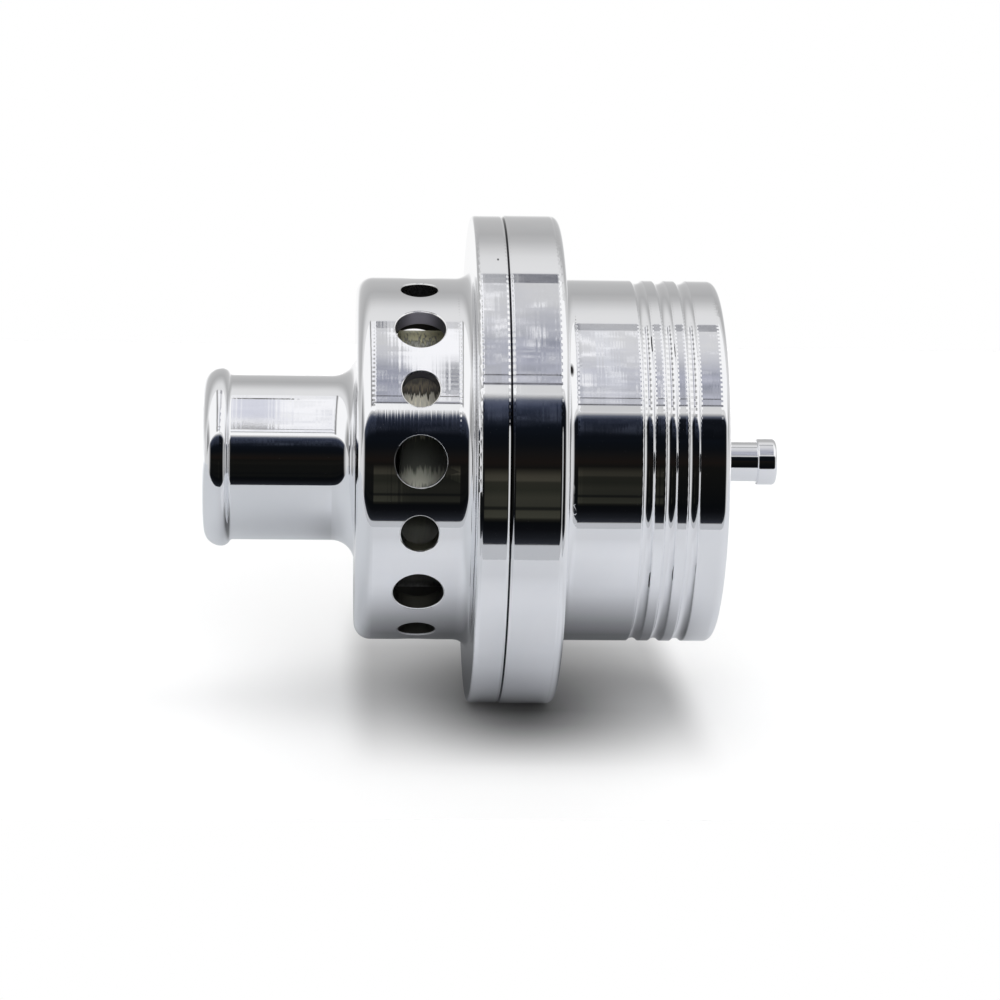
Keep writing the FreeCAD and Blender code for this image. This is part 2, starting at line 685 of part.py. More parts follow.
def make_flange_screw(index):
    """Socket head screw, sunk in the cap flange, its tip in the vent body's flange."""
    body = new_body(f"flange_screw_{index + 1}")
    tip = add(HOLE_END, size("tip_gap"))
    top = add(HEAD_SEAT, size("head_height"))
    thread = half("screw_diameter")
    chamfer = size("tip_chamfer")
    revolve(body, "screw_turning", [
        (tip, "0"),
        (tip, less(thread, chamfer)),
        (add(tip, chamfer), thread),
        (HEAD_SEAT, thread),
        (HEAD_SEAT, half("head_diameter")),
        (top, half("head_diameter"), size("head_edge")),
        (top, "0"),
    ])
    socket = hexagon_sketch(body, "socket_hexagon", "YZ_Plane", f"{size('socket_width')} / sqrt(3)")
    socket.setExpression(".AttachmentOffset.Base.z", top)
    drill(body, "socket", socket, size("socket_depth"))

    turn = f"({index} * 360 / {size('screw_count')} - {size('roll')}) * 1 deg"
    body.Placement = FreeCAD.Placement(V(0, 0, 0), FreeCAD.Rotation(V(1, 0, 0), 1))
    body.setExpression(".Placement.Rotation.Angle", turn)
    body.setExpression(".Placement.Base.y", f"{SCREW_CIRCLE_RADIUS} * cos({turn})")
    body.setExpression(".Placement.Base.z", f"{SCREW_CIRCLE_RADIUS} * sin({turn})")
    return body


def make_parts():
    flange_ring_station = f"{SEAM} + {size('flange_ring_section')} / 2"
    flange_ring_outer = f"{FLANGE_RING_RADIUS} + {size('flange_ring_section')} / 2"
    parts = [
        make_vent_body(),
        make_spring_cap(),
        make_vacuum_nipple(),
        make_piston(),
        make_wear_ring(),
        make_face_seal(),
        make_o_ring("piston_ring_front", FRONT_RING, RING_RADIUS, size("ring_section")),
        make_o_ring("piston_ring_rear", REAR_RING, RING_RADIUS, size("ring_section")),
        make_o_ring("flange_ring", flange_ring_station, flange_ring_outer, size("flange_ring_section")),
        make_return_spring(),
        make_preload_shim(),
    ]
    parts += [make_flange_screw(index) for index in range(int(number(size("screw_count"))))]
    doc.recompute()
    return parts


def check_and_export(parts):
    for item in doc.Objects:
        if {"Invalid", "Error"} & set(item.State):
            raise RuntimeError(f"{item.Label} failed: {item.State}")
    os.makedirs("parts", exist_ok=True)
    for part in parts:
        shape = part.Shape
        if shape.isNull() or not shape.isValid() or len(shape.Solids) != 1:
            raise RuntimeError(f"{part.Label} has no single valid solid")
        shape.exportStep(f"parts/{part.Label}.step")
        print(f"{part.Label}: {shape.Volume:.1f} mm3")


check_and_export(make_parts())
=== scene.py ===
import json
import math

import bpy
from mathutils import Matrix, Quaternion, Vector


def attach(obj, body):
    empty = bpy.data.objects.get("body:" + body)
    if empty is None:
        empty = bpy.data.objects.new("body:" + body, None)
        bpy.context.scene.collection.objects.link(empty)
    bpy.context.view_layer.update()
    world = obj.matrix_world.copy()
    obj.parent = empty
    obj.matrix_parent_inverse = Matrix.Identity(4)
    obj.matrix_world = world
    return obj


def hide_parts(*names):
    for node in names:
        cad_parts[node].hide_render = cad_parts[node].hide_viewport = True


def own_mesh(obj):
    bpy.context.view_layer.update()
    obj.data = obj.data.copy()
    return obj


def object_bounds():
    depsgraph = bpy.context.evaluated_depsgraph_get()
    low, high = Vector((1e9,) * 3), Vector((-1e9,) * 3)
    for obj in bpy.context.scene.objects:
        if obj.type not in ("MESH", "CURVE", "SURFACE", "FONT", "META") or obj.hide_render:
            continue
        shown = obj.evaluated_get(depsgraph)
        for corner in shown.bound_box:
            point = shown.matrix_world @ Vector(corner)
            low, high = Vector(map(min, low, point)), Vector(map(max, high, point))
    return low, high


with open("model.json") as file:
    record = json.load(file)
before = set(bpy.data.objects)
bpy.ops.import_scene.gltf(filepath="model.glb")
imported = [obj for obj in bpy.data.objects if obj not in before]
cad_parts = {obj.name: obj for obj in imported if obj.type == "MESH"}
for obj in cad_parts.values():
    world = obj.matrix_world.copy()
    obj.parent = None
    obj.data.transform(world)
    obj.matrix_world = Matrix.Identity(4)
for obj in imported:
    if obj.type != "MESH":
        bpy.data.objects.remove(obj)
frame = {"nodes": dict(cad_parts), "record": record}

# Looks of the blow off valve: polished and machined metals, rubber, a pale floor and a studio.
# The valve's axis is X, and most of its forms are turned about it, so the materials work in the
# distance along the axis and the distance from it. Places and lengths in the tables are in
# millimetres and become metres where they are used. Angles are in degrees.

MM = 0.001
cad_low, cad_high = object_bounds()

# The photograph's view, found from the valve's outline in it
LOOK_POINT = Vector((45.03, 0.0, -6.29)) * MM
CAMERA_DISTANCE = 495 * MM
CAMERA_ELEVATION = 9.61
CAMERA_YAW = 3.05
CAMERA_ROLL = 1.0
FOCAL_LENGTH = 3.236
SENSOR_WIDTH = 36.0
CLIP_NEAR = 0.05
CLIP_FAR = 20.0

# Floor: the valve lies on the rim of its cap flange
FLOOR_FRONT = -72 * MM
FLOOR_BACK = 450 * MM
FLOOR_SIDE = 450 * MM


def srgb(red, green, blue):
    """Colour as seen on a screen, 0 to 255, turned into the linear values that shaders take."""
    def linear(level):
        part = level / 255
        return part / 12.92 if part <= 0.04045 else ((part + 0.055) / 1.055) ** 2.4
    return (linear(red), linear(green), linear(blue), 1.0)


def grey(level):
    return srgb(level, level, level)


def share(level):
    """Grey level whose linear value is the share wanted."""
    return 255 * (level * 12.92 if level <= 0.0031308 else 1.055 * level ** (1 / 2.4) - 0.055)


# Node helpers: each adds one or more nodes and returns the socket that carries their result.

def add_node(tree, kind, inputs=None, **settings):
    """Add a shader node. An input is named or numbered, and takes a value or another output."""
    node = tree.nodes.new("ShaderNode" + kind)
    for name, value in settings.items():
        setattr(node, name, value)
    for name, value in (inputs or {}).items():
        if isinstance(value, bpy.types.NodeSocket):
            tree.links.new(value, node.inputs[name])
        else:
            node.inputs[name].default_value = value
    return node


def calc(tree, operation, *values, clamp=False):
    inputs = dict(enumerate(values))
    return add_node(tree, "Math", inputs, operation=operation, use_clamp=clamp).outputs[0]


def multiply(tree, first, *others):
    for other in others:
        first = calc(tree, "MULTIPLY", first, other)
    return first


def multiply_add(tree, value, factor, added):
    return calc(tree, "MULTIPLY_ADD", value, factor, added)


def inverse(tree, value):
    return calc(tree, "SUBTRACT", 1.0, value)


def centred(tree, value):
    """Noise from 0 to 1, moved to lie about nought."""
    return calc(tree, "SUBTRACT", value, 0.5)


def vector_calc(tree, operation, *values):
    node = add_node(tree, "VectorMath", dict(enumerate(values)), operation=operation)
    return node.outputs["Value" if operation in ("DOT_PRODUCT", "LENGTH") else "Vector"]


def scaled(tree, vector, factor):
    node = add_node(tree, "VectorMath", {"Vector": vector, "Scale": factor}, operation="SCALE")
    return node.outputs["Vector"]


def combine(tree, x, y, z):
    return add_node(tree, "CombineXYZ", {0: x, 1: y, 2: z}).outputs[0]


def split(tree, vector):
    return add_node(tree, "SeparateXYZ", {0: vector}).outputs


def mix_values(tree, factor, first, second):
    return add_node(tree, "Mix", {0: factor, 2: first, 3: second}, data_type="FLOAT").outputs[0]


def mix_vectors(tree, factor, first, second):
    return add_node(tree, "Mix", {0: factor, 4: first, 5: second}, data_type="VECTOR").outputs[1]


def mix_colours(tree, factor, first, second):
    return add_node(tree, "Mix", {0: factor, 6: first, 7: second}, data_type="RGBA").outputs[2]


def dimmed(tree, colour, factor):
    return vector_calc(tree, "MULTIPLY", colour, combine(tree, factor, factor, factor))


def rescale(tree, value, low, high, new_low=0.0, new_high=1.0, smooth=False):
    """Map low..high to new_low..new_high, and hold the ends."""
    inputs = {"Value": value, "From Min": low, "From Max": high,
              "To Min": new_low, "To Max": new_high}
    kind = "SMOOTHSTEP" if smooth else "LINEAR"
    return add_node(tree, "MapRange", inputs, interpolation_type=kind).outputs[0]


def window(tree, value, low, high, blur):
    """One between low and high, nought outside, with ends that are blur wide."""
    rise = rescale(tree, value, low - blur / 2, low + blur / 2, smooth=True)
    fall = rescale(tree, value, high - blur / 2, high + blur / 2, 1.0, 0.0, smooth=True)
    return multiply(tree, rise, fall)


def window_mm(tree, value, low, high, blur):
    return window(tree, value, low * MM, high * MM, blur * MM)


def noise(tree, vector, scale, detail, distortion=0.0):
    inputs = {"Vector": vector, "Scale": scale, "Detail": detail, "Distortion": distortion}
    return add_node(tree, "TexNoise", inputs).outputs["Fac"]


def stretched_noise(tree, x, angle, along, round_axis, detail, distortion=0.0):
    """Noise over a place along the axis and an angle round it, each with its own scale."""
    place = combine(tree, multiply(tree, x, along), multiply(tree, angle, round_axis), 0.0)
    return noise(tree, place, 1.0, detail, distortion)


def noise_along(tree, position, scale, detail):
    """Noise that varies along one length only."""
    inputs = {"W": position, "Scale": scale, "Detail": detail}
    return add_node(tree, "TexNoise", inputs, noise_dimensions="1D").outputs["Fac"]


def lathe_marks(tree, position, pitch, lean, detail=1.0):
    """Uneven leans that a turning tool leaves, as far apart as the pitch in mm."""
    marks = noise_along(tree, position, scale=1 / (pitch * MM), detail=detail)
    return multiply(tree, centred(tree, marks), lean)


def ramp(tree, value, low, high, stops):
    """Colour ramp whose stops are given in the value's own units."""
    node = add_node(tree, "ValToRGB", {0: rescale(tree, value, low, high)})
    band = node.color_ramp
    band.interpolation = "LINEAR"
    for index, (place, colour) in enumerate(stops):
        at = (place - low) / (high - low)
        element = band.elements[index] if index < 2 else band.elements.new(at)
        element.position = at
        element.color = colour
    return node.outputs["Color"]


def steps(tree, value, low, high, levels, blur):
    """Grey levels that hold between places: (place where it starts, level from there on)."""
    stops = [(low, grey(levels[0][1]))]
    for (_, before), (place, level) in zip(levels, levels[1:]):
        stops += [(place - blur, grey(before)), (place + blur, grey(level))]
    return ramp(tree, value, low, high, stops)


def strength(tree, value, table, top):
    """Strength from a table of (place, strength), as a share of top."""
    stops = [(place, grey(share(level / top))) for place, level in table]
    return ramp(tree, value, table[0][0], table[-1][0], stops)


def in_metres(table):
    return [(place * MM, level) for place, level in table]


def bump(tree, height):
    """Relief from a height in metres."""
    inputs = {"Height": height, "Strength": 1.0, "Distance": 1.0}
    return add_node(tree, "Bump", inputs).outputs[0]


def new_material(name):
    material = bpy.data.materials.new(name)
    material.use_nodes = True
    tree = material.node_tree
    tree.nodes.clear()
    shader = add_node(tree, "BsdfPrincipled")
    output = add_node(tree, "OutputMaterial")
    tree.links.new(shader.outputs[0], output.inputs["Surface"])
    return material, tree, shader


def feed(tree, shader, **sockets):
    """Link or set the shader's inputs, named with underscores for spaces."""
    for name, value in sockets.items():
        socket = shader.inputs[name.replace("_", " ")]
        if isinstance(value, bpy.types.NodeSocket):
            tree.links.new(value, socket)
        else:
            socket.default_value = value


# The vent holes: their stretch of the axis, the radii between which they lie, the radius where
# their chamfers begin, and the stretch in the middle that the light reaches
VENTS = (28.2, 36.1)
VENT_DEPTHS = (25.02, 27.463)
VENT_CHAMFER = 27.33
VENT_MIDDLE = (30.2, 34)

# Below these limits a facet belongs to a turned form (by its sideways part) or to a cylinder (by
# its part along the axis), and beyond the last it is a flat face across the axis
SIDEWAYS_LIMIT = 0.06
CYLINDER_LIMIT = 0.004
FLAT_LIMIT = 0.9999

# The chamber behind the vents along the axis, and the radius beyond which metal is outside
CHAMBER = (25.5, 38.5)
OUTSIDE = 26.9

# The seam between the flanges, with half the width of its dark line and of its two chamfers
SEAM = 44.7
SEAM_LINE = 0.15
SEAM_CHAMFERS = 0.34


def turned_places(tree):
    """Distances along and from the valve's axis, the direction away from it, and the angle."""
    place = add_node(tree, "TexCoord").outputs["Object"]
    x, y, z = split(tree, place)
    from_axis = vector_calc(tree, "LENGTH", combine(tree, 0.0, y, z))
    outward = vector_calc(tree, "NORMALIZE", combine(tree, 0.0, y, z))
    _, out_y, out_z = split(tree, outward)
    round_axis = combine(tree, 0.0, multiply(tree, out_z, -1.0), out_y)
    in_vent = multiply(tree, window_mm(tree, x, *VENTS, 0.02),
                       window_mm(tree, from_axis, *VENT_DEPTHS, 0.004))
    return {"place": place, "x": x, "from_axis": from_axis, "outward": outward, "height": out_z,
            "round_axis": round_axis, "angle": calc(tree, "ARCTAN2", z, y), "in_vent": in_vent}


def turned_normal(tree, at):
    """True normal of the turned forms, which the mesh's facets only come near, and a mask.

    Holes keep their own normal. The mask is one on flat faces across the axis.
    """
    geometry = add_node(tree, "NewGeometry")
    facet = geometry.outputs["True Normal"]
    smooth = geometry.outputs["Normal"]
    facet_x = split(tree, facet)[0]
    steep = calc(tree, "ABSOLUTE", facet_x)
    sideways = calc(tree, "ABSOLUTE", vector_calc(tree, "DOT_PRODUCT", facet, at["round_axis"]))
    turned = multiply(tree, calc(tree, "LESS_THAN", sideways, SIDEWAYS_LIMIT),
                      calc(tree, "LESS_THAN", at["in_vent"], 0.5))
    cylinder = multiply(tree, turned, calc(tree, "LESS_THAN", steep, CYLINDER_LIMIT))
    flat = calc(tree, "GREATER_THAN", steep, FLAT_LIMIT)

    stray = vector_calc(tree, "DOT_PRODUCT", smooth, at["round_axis"])
    straight = vector_calc(tree, "SUBTRACT", smooth, scaled(tree, at["round_axis"], stray))
    facing = calc(tree, "SIGN", vector_calc(tree, "DOT_PRODUCT", facet, at["outward"]))
    radial = scaled(tree, at["outward"], facing)
    across = combine(tree, calc(tree, "SIGN", facet_x), 0.0, 0.0)
    normal = mix_vectors(tree, turned, smooth, vector_calc(tree, "NORMALIZE", straight))
    normal = mix_vectors(tree, cylinder, normal, radial)
    return mix_vectors(tree, flat, normal, across), flat


def leaning(tree, normal, lean):
    return vector_calc(tree, "NORMALIZE", vector_calc(tree, "ADD", normal, lean))


def by_height(tree, height, stops):
    """Colour by height over the radius, from -1 at the bottom to 1 at the top."""
    return ramp(tree, height, -1.0, 1.0, stops)


def beside_vent(tree, at):
    """One at the sides of a vent hole, where less light comes in, and nought in its middle."""
    return inverse(tree, window_mm(tree, at["x"], *VENT_MIDDLE, 3))


# Polished metal

# Tangent lines where the turned rounds begin, burnished and faintly chattered: the place along
# the axis, listed by the side to which the edge falls. They lie within EDGE_RANGE.
EDGES_LEFT = (25.3, 37.8, 40.55, 45.04, 54.85, 64.15, 67.45, 70.75)
EDGES_RIGHT = (44.36, 51.95, 66.15, 69.45, 72.75, 75.85)
EDGE_HALF = 0.16
EDGE_RANGE = (20.0, 80.0)

# Beads of chatter round the valve, the angles from the top between which they show on the edges,
# and the stretch of the axis whose edges are bright outside those angles. The leans are how far
# the surface falls off there.
BEAD_COUNT = 233
BEADED = (20, 73.5)
BEAD_LEANS = (0.04, 0.42)
PLAIN_EDGES = (40, 53.5)
PLAIN_LEAN = 0.85

# Dotted lines in the grip grooves
GROOVE_LINES = (64.85, 65.45, 68.15, 68.75, 71.45, 72.05)
GROOVE_DOTTED = (35, 73.5)
GROOVE_DOTS = 0.8 * BEAD_COUNT
GROOVE_STRENGTH = 0.75

# Dark spots: place, radius of the core, radius where it ends, how much slimmer it is along the
# axis, colour. The first lies on the body flange, the second, shaped like a drop, in the cap's
# fillet.
DARK_SPOTS = (
    ((43.17, -18.11, 32.27), 0.14, 0.36, 1.8, grey(80)),
    ((54.0, -22.52, 16.97), 0.7, 1.35, 3.2, grey(36)),
)

# Comb of turning marks on the drum where the light begins: stretch of the axis and of height
COMB_SPAN = (25.4, 38)
COMB_HEIGHT = (0.3, 0.4)
COMB_PITCH = 0.17
COMB_LEAN = 0.03

# Turning marks: how far apart, and how far they lean, on cylinders and on flat faces
TURNED = (0.4, 0.006)
FACED = (0.3, 0.012)

POLISH = (srgb(251, 251, 252), srgb(245, 246, 249))
POLISH_ROUGHNESS = (0.02, 0.045)
CHAMBER_ROUGHNESS = 0.45
RIM_ROUGHNESS = 0.16
WALL_METALLIC = 0.3
SEAM_DARK = srgb(40, 40, 44)
GROOVE_DARK = grey(46)

# Shade at the sides of the vent holes: colour and strength, on their walls and on the piston
WALL_SHADE = (grey(22), 0.75)
PISTON_SHADE = (grey(30), 0.6)

# Walls of the vent holes, their chamfers, and the bore behind them, all by height: painted light
# and shade. Bright bands stand in for light coming in through the vents and dark ones for shade,
# and the chamfers are painted darker a little above the middle
VENT_WALL_PAINTED_LIGHT = [
    (-1.0, srgb(34, 34, 32)), (-0.7, srgb(52, 52, 46)), (-0.3, srgb(60, 60, 50)),
    (0.14, srgb(70, 72, 64)), (0.5, srgb(84, 78, 66)), (0.56, srgb(52, 52, 74)),
    (0.7, srgb(54, 54, 80)), (0.76, srgb(176, 174, 190)), (0.87, srgb(170, 168, 180)),
    (0.93, srgb(30, 30, 34)), (1.0, srgb(20, 20, 22)),
]
RIM_PAINTED_SHADE = [
    (-1.0, grey(245)), (-0.2, grey(245)), (-0.02, grey(205)), (0.1, grey(150)), (0.3, grey(140)),
    (0.4, grey(245)),
]
BORE_PAINTED_LIGHT = [
    (-1.0, srgb(90, 90, 86)), (0.78, srgb(90, 90, 86)), (0.9, srgb(236, 234, 206)),
    (1.0, srgb(236, 234, 206)),
]


def edge_ramp(tree, x, places):
    """One on the lines at these places, nought between them."""
    low, high = EDGE_RANGE
    stops = [(low, grey(0))]
    for place in places:
        stops += [(place - EDGE_HALF, grey(0)), (place, grey(255)), (place + EDGE_HALF, grey(0))]
    return ramp(tree, x, low * MM, high * MM, in_metres(stops))


def near_point(tree, at, point, core, rim, slimness):
    """One within core of the point, nought beyond rim. Along the axis it is slimmer."""
    away = vector_calc(tree, "SUBTRACT", at["place"], tuple(part * MM for part in point))
    away = vector_calc(tree, "MULTIPLY", away, (slimness, 1.0, 1.0))
    distance = vector_calc(tree, "LENGTH", away)
    return rescale(tree, distance, core * MM, rim * MM, 1.0, 0.0)


def body_masks(tree, at):
    """Where metal is outside, in the chamber, in a vent hole's chamfer and on its wall."""
    radius = at["from_axis"]
    within = calc(tree, "LESS_THAN", radius, VENT_CHAMFER * MM)
    rim = multiply(tree, at["in_vent"], calc(tree, "GREATER_THAN", radius, VENT_CHAMFER * MM))
    return {
        "outside": calc(tree, "GREATER_THAN", radius, OUTSIDE * MM),
        "inside": multiply(tree, window_mm(tree, at["x"], *CHAMBER, 0.4), within),
        "rim": rim,
        "wall": calc(tree, "SUBTRACT", at["in_vent"], rim),
    }


def at_seam(tree, at, masks, half, blur):
    place = window_mm(tree, at["x"], SEAM - half, SEAM + half, blur)
    return multiply(tree, place, masks["outside"])


def chatter_places(tree, at, angles, blur):
    """Flanks of the valve between two angles from its top."""
    from_top = calc(tree, "ABSOLUTE", calc(tree, "SUBTRACT", at["angle"], math.pi / 2))
    low, high = (math.radians(angle) for angle in angles)
    return window(tree, from_top, low, high, math.radians(blur))


def groove_dots(tree, at):
    lines = multiply(tree, edge_ramp(tree, at["x"], GROOVE_LINES),
                     chatter_places(tree, at, GROOVE_DOTTED, 8))
    chatter = calc(tree, "SINE", multiply(tree, at["angle"], GROOVE_DOTS))
    return multiply(tree, lines, rescale(tree, chatter, -0.1, 0.3, 0.0, GROOVE_STRENGTH))


def metal_colour(tree, at, masks, smudge):
    height, outside = at["height"], masks["outside"]
    colour = mix_colours(tree, smudge, *POLISH)
    # Painted light and shade by height on the bore, the vent walls and their chamfers
    colour = mix_colours(tree, masks["inside"], colour, by_height(tree, height, BORE_PAINTED_LIGHT))
    wall, rim = by_height(tree, height, VENT_WALL_PAINTED_LIGHT), by_height(tree, height, RIM_PAINTED_SHADE)
    vent = mix_colours(tree, masks["rim"], wall, rim)
    colour = mix_colours(tree, at["in_vent"], colour, vent)
    shade, strongest = WALL_SHADE
    shaded = multiply(tree, masks["wall"], beside_vent(tree, at), strongest)
    colour = mix_colours(tree, shaded, colour, shade)
    colour = mix_colours(tree, at_seam(tree, at, masks, SEAM_LINE, 0.08), colour, SEAM_DARK)
    for point, core, end, slimness, tint in DARK_SPOTS:
        spot = near_point(tree, at, point, core, end, slimness)
        colour = mix_colours(tree, spot, colour, tint)
    dots = multiply(tree, groove_dots(tree, at), outside)
    return mix_colours(tree, dots, colour, GROOVE_DARK)


def metal_lean(tree, at, masks, flat):
    """How far the surface leans off its true normal: turning marks, burnished edges, the comb."""
    turning = lathe_marks(tree, at["x"], *TURNED)
    bead = calc(tree, "SINE", multiply(tree, at["angle"], BEAD_COUNT))
    bead = rescale(tree, bead, -0.5, 0.5, *BEAD_LEANS, smooth=True)
    plain = multiply(tree, window_mm(tree, at["x"], *PLAIN_EDGES, 0.1), PLAIN_LEAN)
    depth = mix_values(tree, chatter_places(tree, at, BEADED, 4), plain, bead)
    right, left = edge_ramp(tree, at["x"], EDGES_RIGHT), edge_ramp(tree, at["x"], EDGES_LEFT)
    edges = multiply(tree, calc(tree, "SUBTRACT", right, left), masks["outside"], depth)

    comb = noise_along(tree, at["x"], scale=1 / (COMB_PITCH * MM), detail=1.0)
    comb = rescale(tree, comb, 0.45, 0.8, 0.0, COMB_LEAN)
    comb = multiply(tree, comb, window(tree, at["height"], *COMB_HEIGHT, 0.02),
                    window_mm(tree, at["x"], *COMB_SPAN, 0.2), masks["outside"])
    lean = vector_calc(tree, "ADD", combine(tree, calc(tree, "ADD", turning, edges), 0.0, 0.0),
                       combine(tree, 0.0, 0.0, comb))
    rings = lathe_marks(tree, at["from_axis"], *FACED)
    return mix_vectors(tree, flat, lean, scaled(tree, at["outward"], rings))


def polished_metal():
    """Bright turned aluminium, with turning marks, wipe marks and rougher insides, and painted
    light and shade on the vent walls, their chamfers and the bore.
    """
    material, tree, shader = new_material("polished_body")
    at = turned_places(tree)
    masks = body_masks(tree, at)
    normal, flat = turned_normal(tree, at)
    normal = mix_vectors(tree, multiply(tree, masks["rim"], 0.5), normal, at["outward"])
    chamfers = at_seam(tree, at, masks, SEAM_CHAMFERS, 0.02)
    normal = mix_vectors(tree, chamfers, normal, at["outward"])

    smudge = noise(tree, at["place"], scale=160, detail=3.0, distortion=1.0)
    roughness = mix_values(tree, smudge, *POLISH_ROUGHNESS)
    roughness = mix_values(tree, masks["inside"], roughness, CHAMBER_ROUGHNESS)
    roughness = mix_values(tree, masks["rim"], roughness, RIM_ROUGHNESS)
    feed(tree, shader, Base_Color=metal_colour(tree, at, masks, smudge),
         Metallic=mix_values(tree, masks["wall"], 1.0, WALL_METALLIC), Roughness=roughness,
         Normal=leaning(tree, normal, metal_lean(tree, at, masks, flat)))
    return material


# Piston skirt: painted light and shade by height over its radius, bright bands where light comes
# in through the vent holes and dark ones between them
SKIRT_PAINTED_LIGHT = [
    (-1.0, srgb(70, 70, 60)), (-0.5, srgb(62, 62, 50)), (-0.16, srgb(60, 62, 52)),
    (-0.1, srgb(120, 122, 112)), (0.0, srgb(225, 225, 212)), (0.07, srgb(180, 182, 168)),
    (0.12, srgb(80, 84, 76)), (0.33, srgb(60, 64, 56)), (0.46, srgb(170, 166, 146)),
    (0.51, srgb(255, 252, 240)), (0.62, srgb(255, 250, 232)), (0.64, srgb(58, 52, 38)),
    (0.665, srgb(72, 65, 50)), (0.705, srgb(136, 122, 96)), (0.75, srgb(70, 64, 50)),
    (0.86, srgb(120, 120, 116)), (0.94, srgb(150, 150, 145)), (0.965, srgb(222, 222, 218)),
    (0.98, srgb(128, 126, 112)), (0.99, srgb(120, 118, 98)), (1.0, srgb(226, 222, 186)),
]
PISTON_FACE = grey(170)
PISTON_ROUGHNESS = (0.3, 0.42)
PISTON_MARKS = (0.3, 0.4)

# Streaks round the skirt: scale along the axis and round it, colour, strength, and how far they
# move the painted light and shade
STREAKS = (3000, 7)
STREAK_DARK = grey(40)
STREAK_STRENGTH = 0.32
STREAK_SHIFT = 0.06

# How metallic the skirt looks low down, and the heights over its radius between which that fades
SKIRT_METALLIC = 0.3
SKIRT_FADE = (0.3, 0.46)


def satin_metal():
    """Hard anodised piston: half bright, with painted light and shade by height on its skirt, and
    marks that streak its reflections.
    """
    material, tree, shader = new_material("satin_aluminium")
    at = turned_places(tree)
    height = at["height"]
    normal, flat = turned_normal(tree, at)
    streak = stretched_noise(tree, at["x"], at["angle"], *STREAKS, detail=3.0)
    streak = rescale(tree, streak, 0.38, 0.62)
    # Painted light and shade on the skirt by height, moved a little by the streaks
    painted_light = by_height(tree, multiply_add(tree, streak, STREAK_SHIFT, height), SKIRT_PAINTED_LIGHT)
    painted_light = mix_colours(tree, flat, painted_light, PISTON_FACE)
    colour = mix_colours(tree, mix_values(tree, streak, STREAK_STRENGTH, 0.0), painted_light, STREAK_DARK)
    shade, strongest = PISTON_SHADE
    shaded = multiply(tree, beside_vent(tree, at), strongest)
    colour = mix_colours(tree, shaded, colour, shade)
    marks = lathe_marks(tree, at["x"], *PISTON_MARKS, detail=2.0)
    lean = mix_vectors(tree, flat, combine(tree, marks, 0.0, 0.0), (0.0, 0.0, 0.0))
    feed(tree, shader, Base_Color=colour, Roughness=mix_values(tree, streak, *PISTON_ROUGHNESS),
         Metallic=rescale(tree, height, *SKIRT_FADE, SKIRT_METALLIC, 0.0),
         Normal=leaning(tree, normal, lean))
    return material


# Relief of the plain materials
GRAIN_DEPTH = 0.01 * MM
BLOOM_DEPTH = 0.012 * MM
SCRATCH_DEPTH = 0.002 * MM
SCRATCH_SCALES = (6000.0, 500.0, 500.0)


def plastic():
    """Wear ring: filled dark plastic with a fine grain."""
    material, tree, shader = new_material("guide_plastic")
    place = add_node(tree, "TexCoord").outputs["Object"]
    grain = noise(tree, place, scale=2600, detail=3.0)
    colour = mix_colours(tree, grain, srgb(58, 60, 62), srgb(84, 84, 80))
    feed(tree, shader, Base_Color=colour, Roughness=mix_values(tree, grain, 0.45, 0.6),
         Normal=bump(tree, multiply(tree, grain, GRAIN_DEPTH)))
    return material


def rubber():
    """Seals: black rubber with a faint bloom."""
    material, tree, shader = new_material("black_rubber")
    place = add_node(tree, "TexCoord").outputs["Object"]
    bloom = noise(tree, place, scale=700, detail=4.0, distortion=0.8)
    colour = mix_colours(tree, bloom, srgb(24, 24, 25), srgb(46, 46, 47))
    feed(tree, shader, Base_Color=colour, Roughness=mix_values(tree, bloom, 0.5, 0.75),
         Normal=bump(tree, multiply(tree, bloom, BLOOM_DEPTH)))
    return material


def drawn_steel(name, dark, light, rough_low, rough_high):
    """Steel with draw marks or plating: colour and gloss vary finely."""
    material, tree, shader = new_material(name)
    place = add_node(tree, "TexCoord").outputs["Object"]
    mottle = noise(tree, place, scale=900, detail=4.0, distortion=0.6)
    drawn = vector_calc(tree, "MULTIPLY", place, SCRATCH_SCALES)
    scratch = noise(tree, drawn, scale=1.0, detail=2.0)
    feed(tree, shader, Base_Color=mix_colours(tree, mottle, dark, light), Metallic=1.0,
         Roughness=mix_values(tree, scratch, rough_low, rough_high),
         Normal=bump(tree, multiply(tree, scratch, SCRATCH_DEPTH)))
    return material


# Steels: dark and light colour, least and greatest roughness
STEELS = {
    "spring_steel": (srgb(120, 122, 126), srgb(165, 166, 168), 0.2, 0.35),
    "plated_steel": (srgb(186, 186, 180), srgb(214, 213, 206), 0.18, 0.3),
    "screw_steel": (srgb(42, 43, 46), srgb(66, 67, 70), 0.3, 0.45),
}


def dress_nodes():
    finishes = {
        "polished_body": polished_metal(),
        "satin_aluminium": satin_metal(),
        "guide_plastic": plastic(),
        "black_rubber": rubber(),
    }
    for name, finish in STEELS.items():
        finishes[name] = drawn_steel(name, *finish)
    for subpart in frame["record"]["subparts"]:
        node = frame["nodes"][subpart["node"]]
        node.data.materials.clear()
        node.data.materials.append(finishes[subpart["material_slot"]])


def make_spring():
    """Stand-in for the return spring, which in the valve shortens as the piston slides: a copy with
    a mesh of its own, held by the valve's body, with the solid hidden.
    """
    node = frame["nodes"]["return_spring"]
    spring = bpy.data.objects.new("return_coil", node.data.copy())
    bpy.context.scene.collection.objects.link(spring)
    bpy.context.view_layer.update()
    spring.matrix_world = node.matrix_world.copy()
    bpy.context.view_layer.update()
    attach(spring, "valve")
    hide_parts("return_spring")
    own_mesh(spring)


# Floor

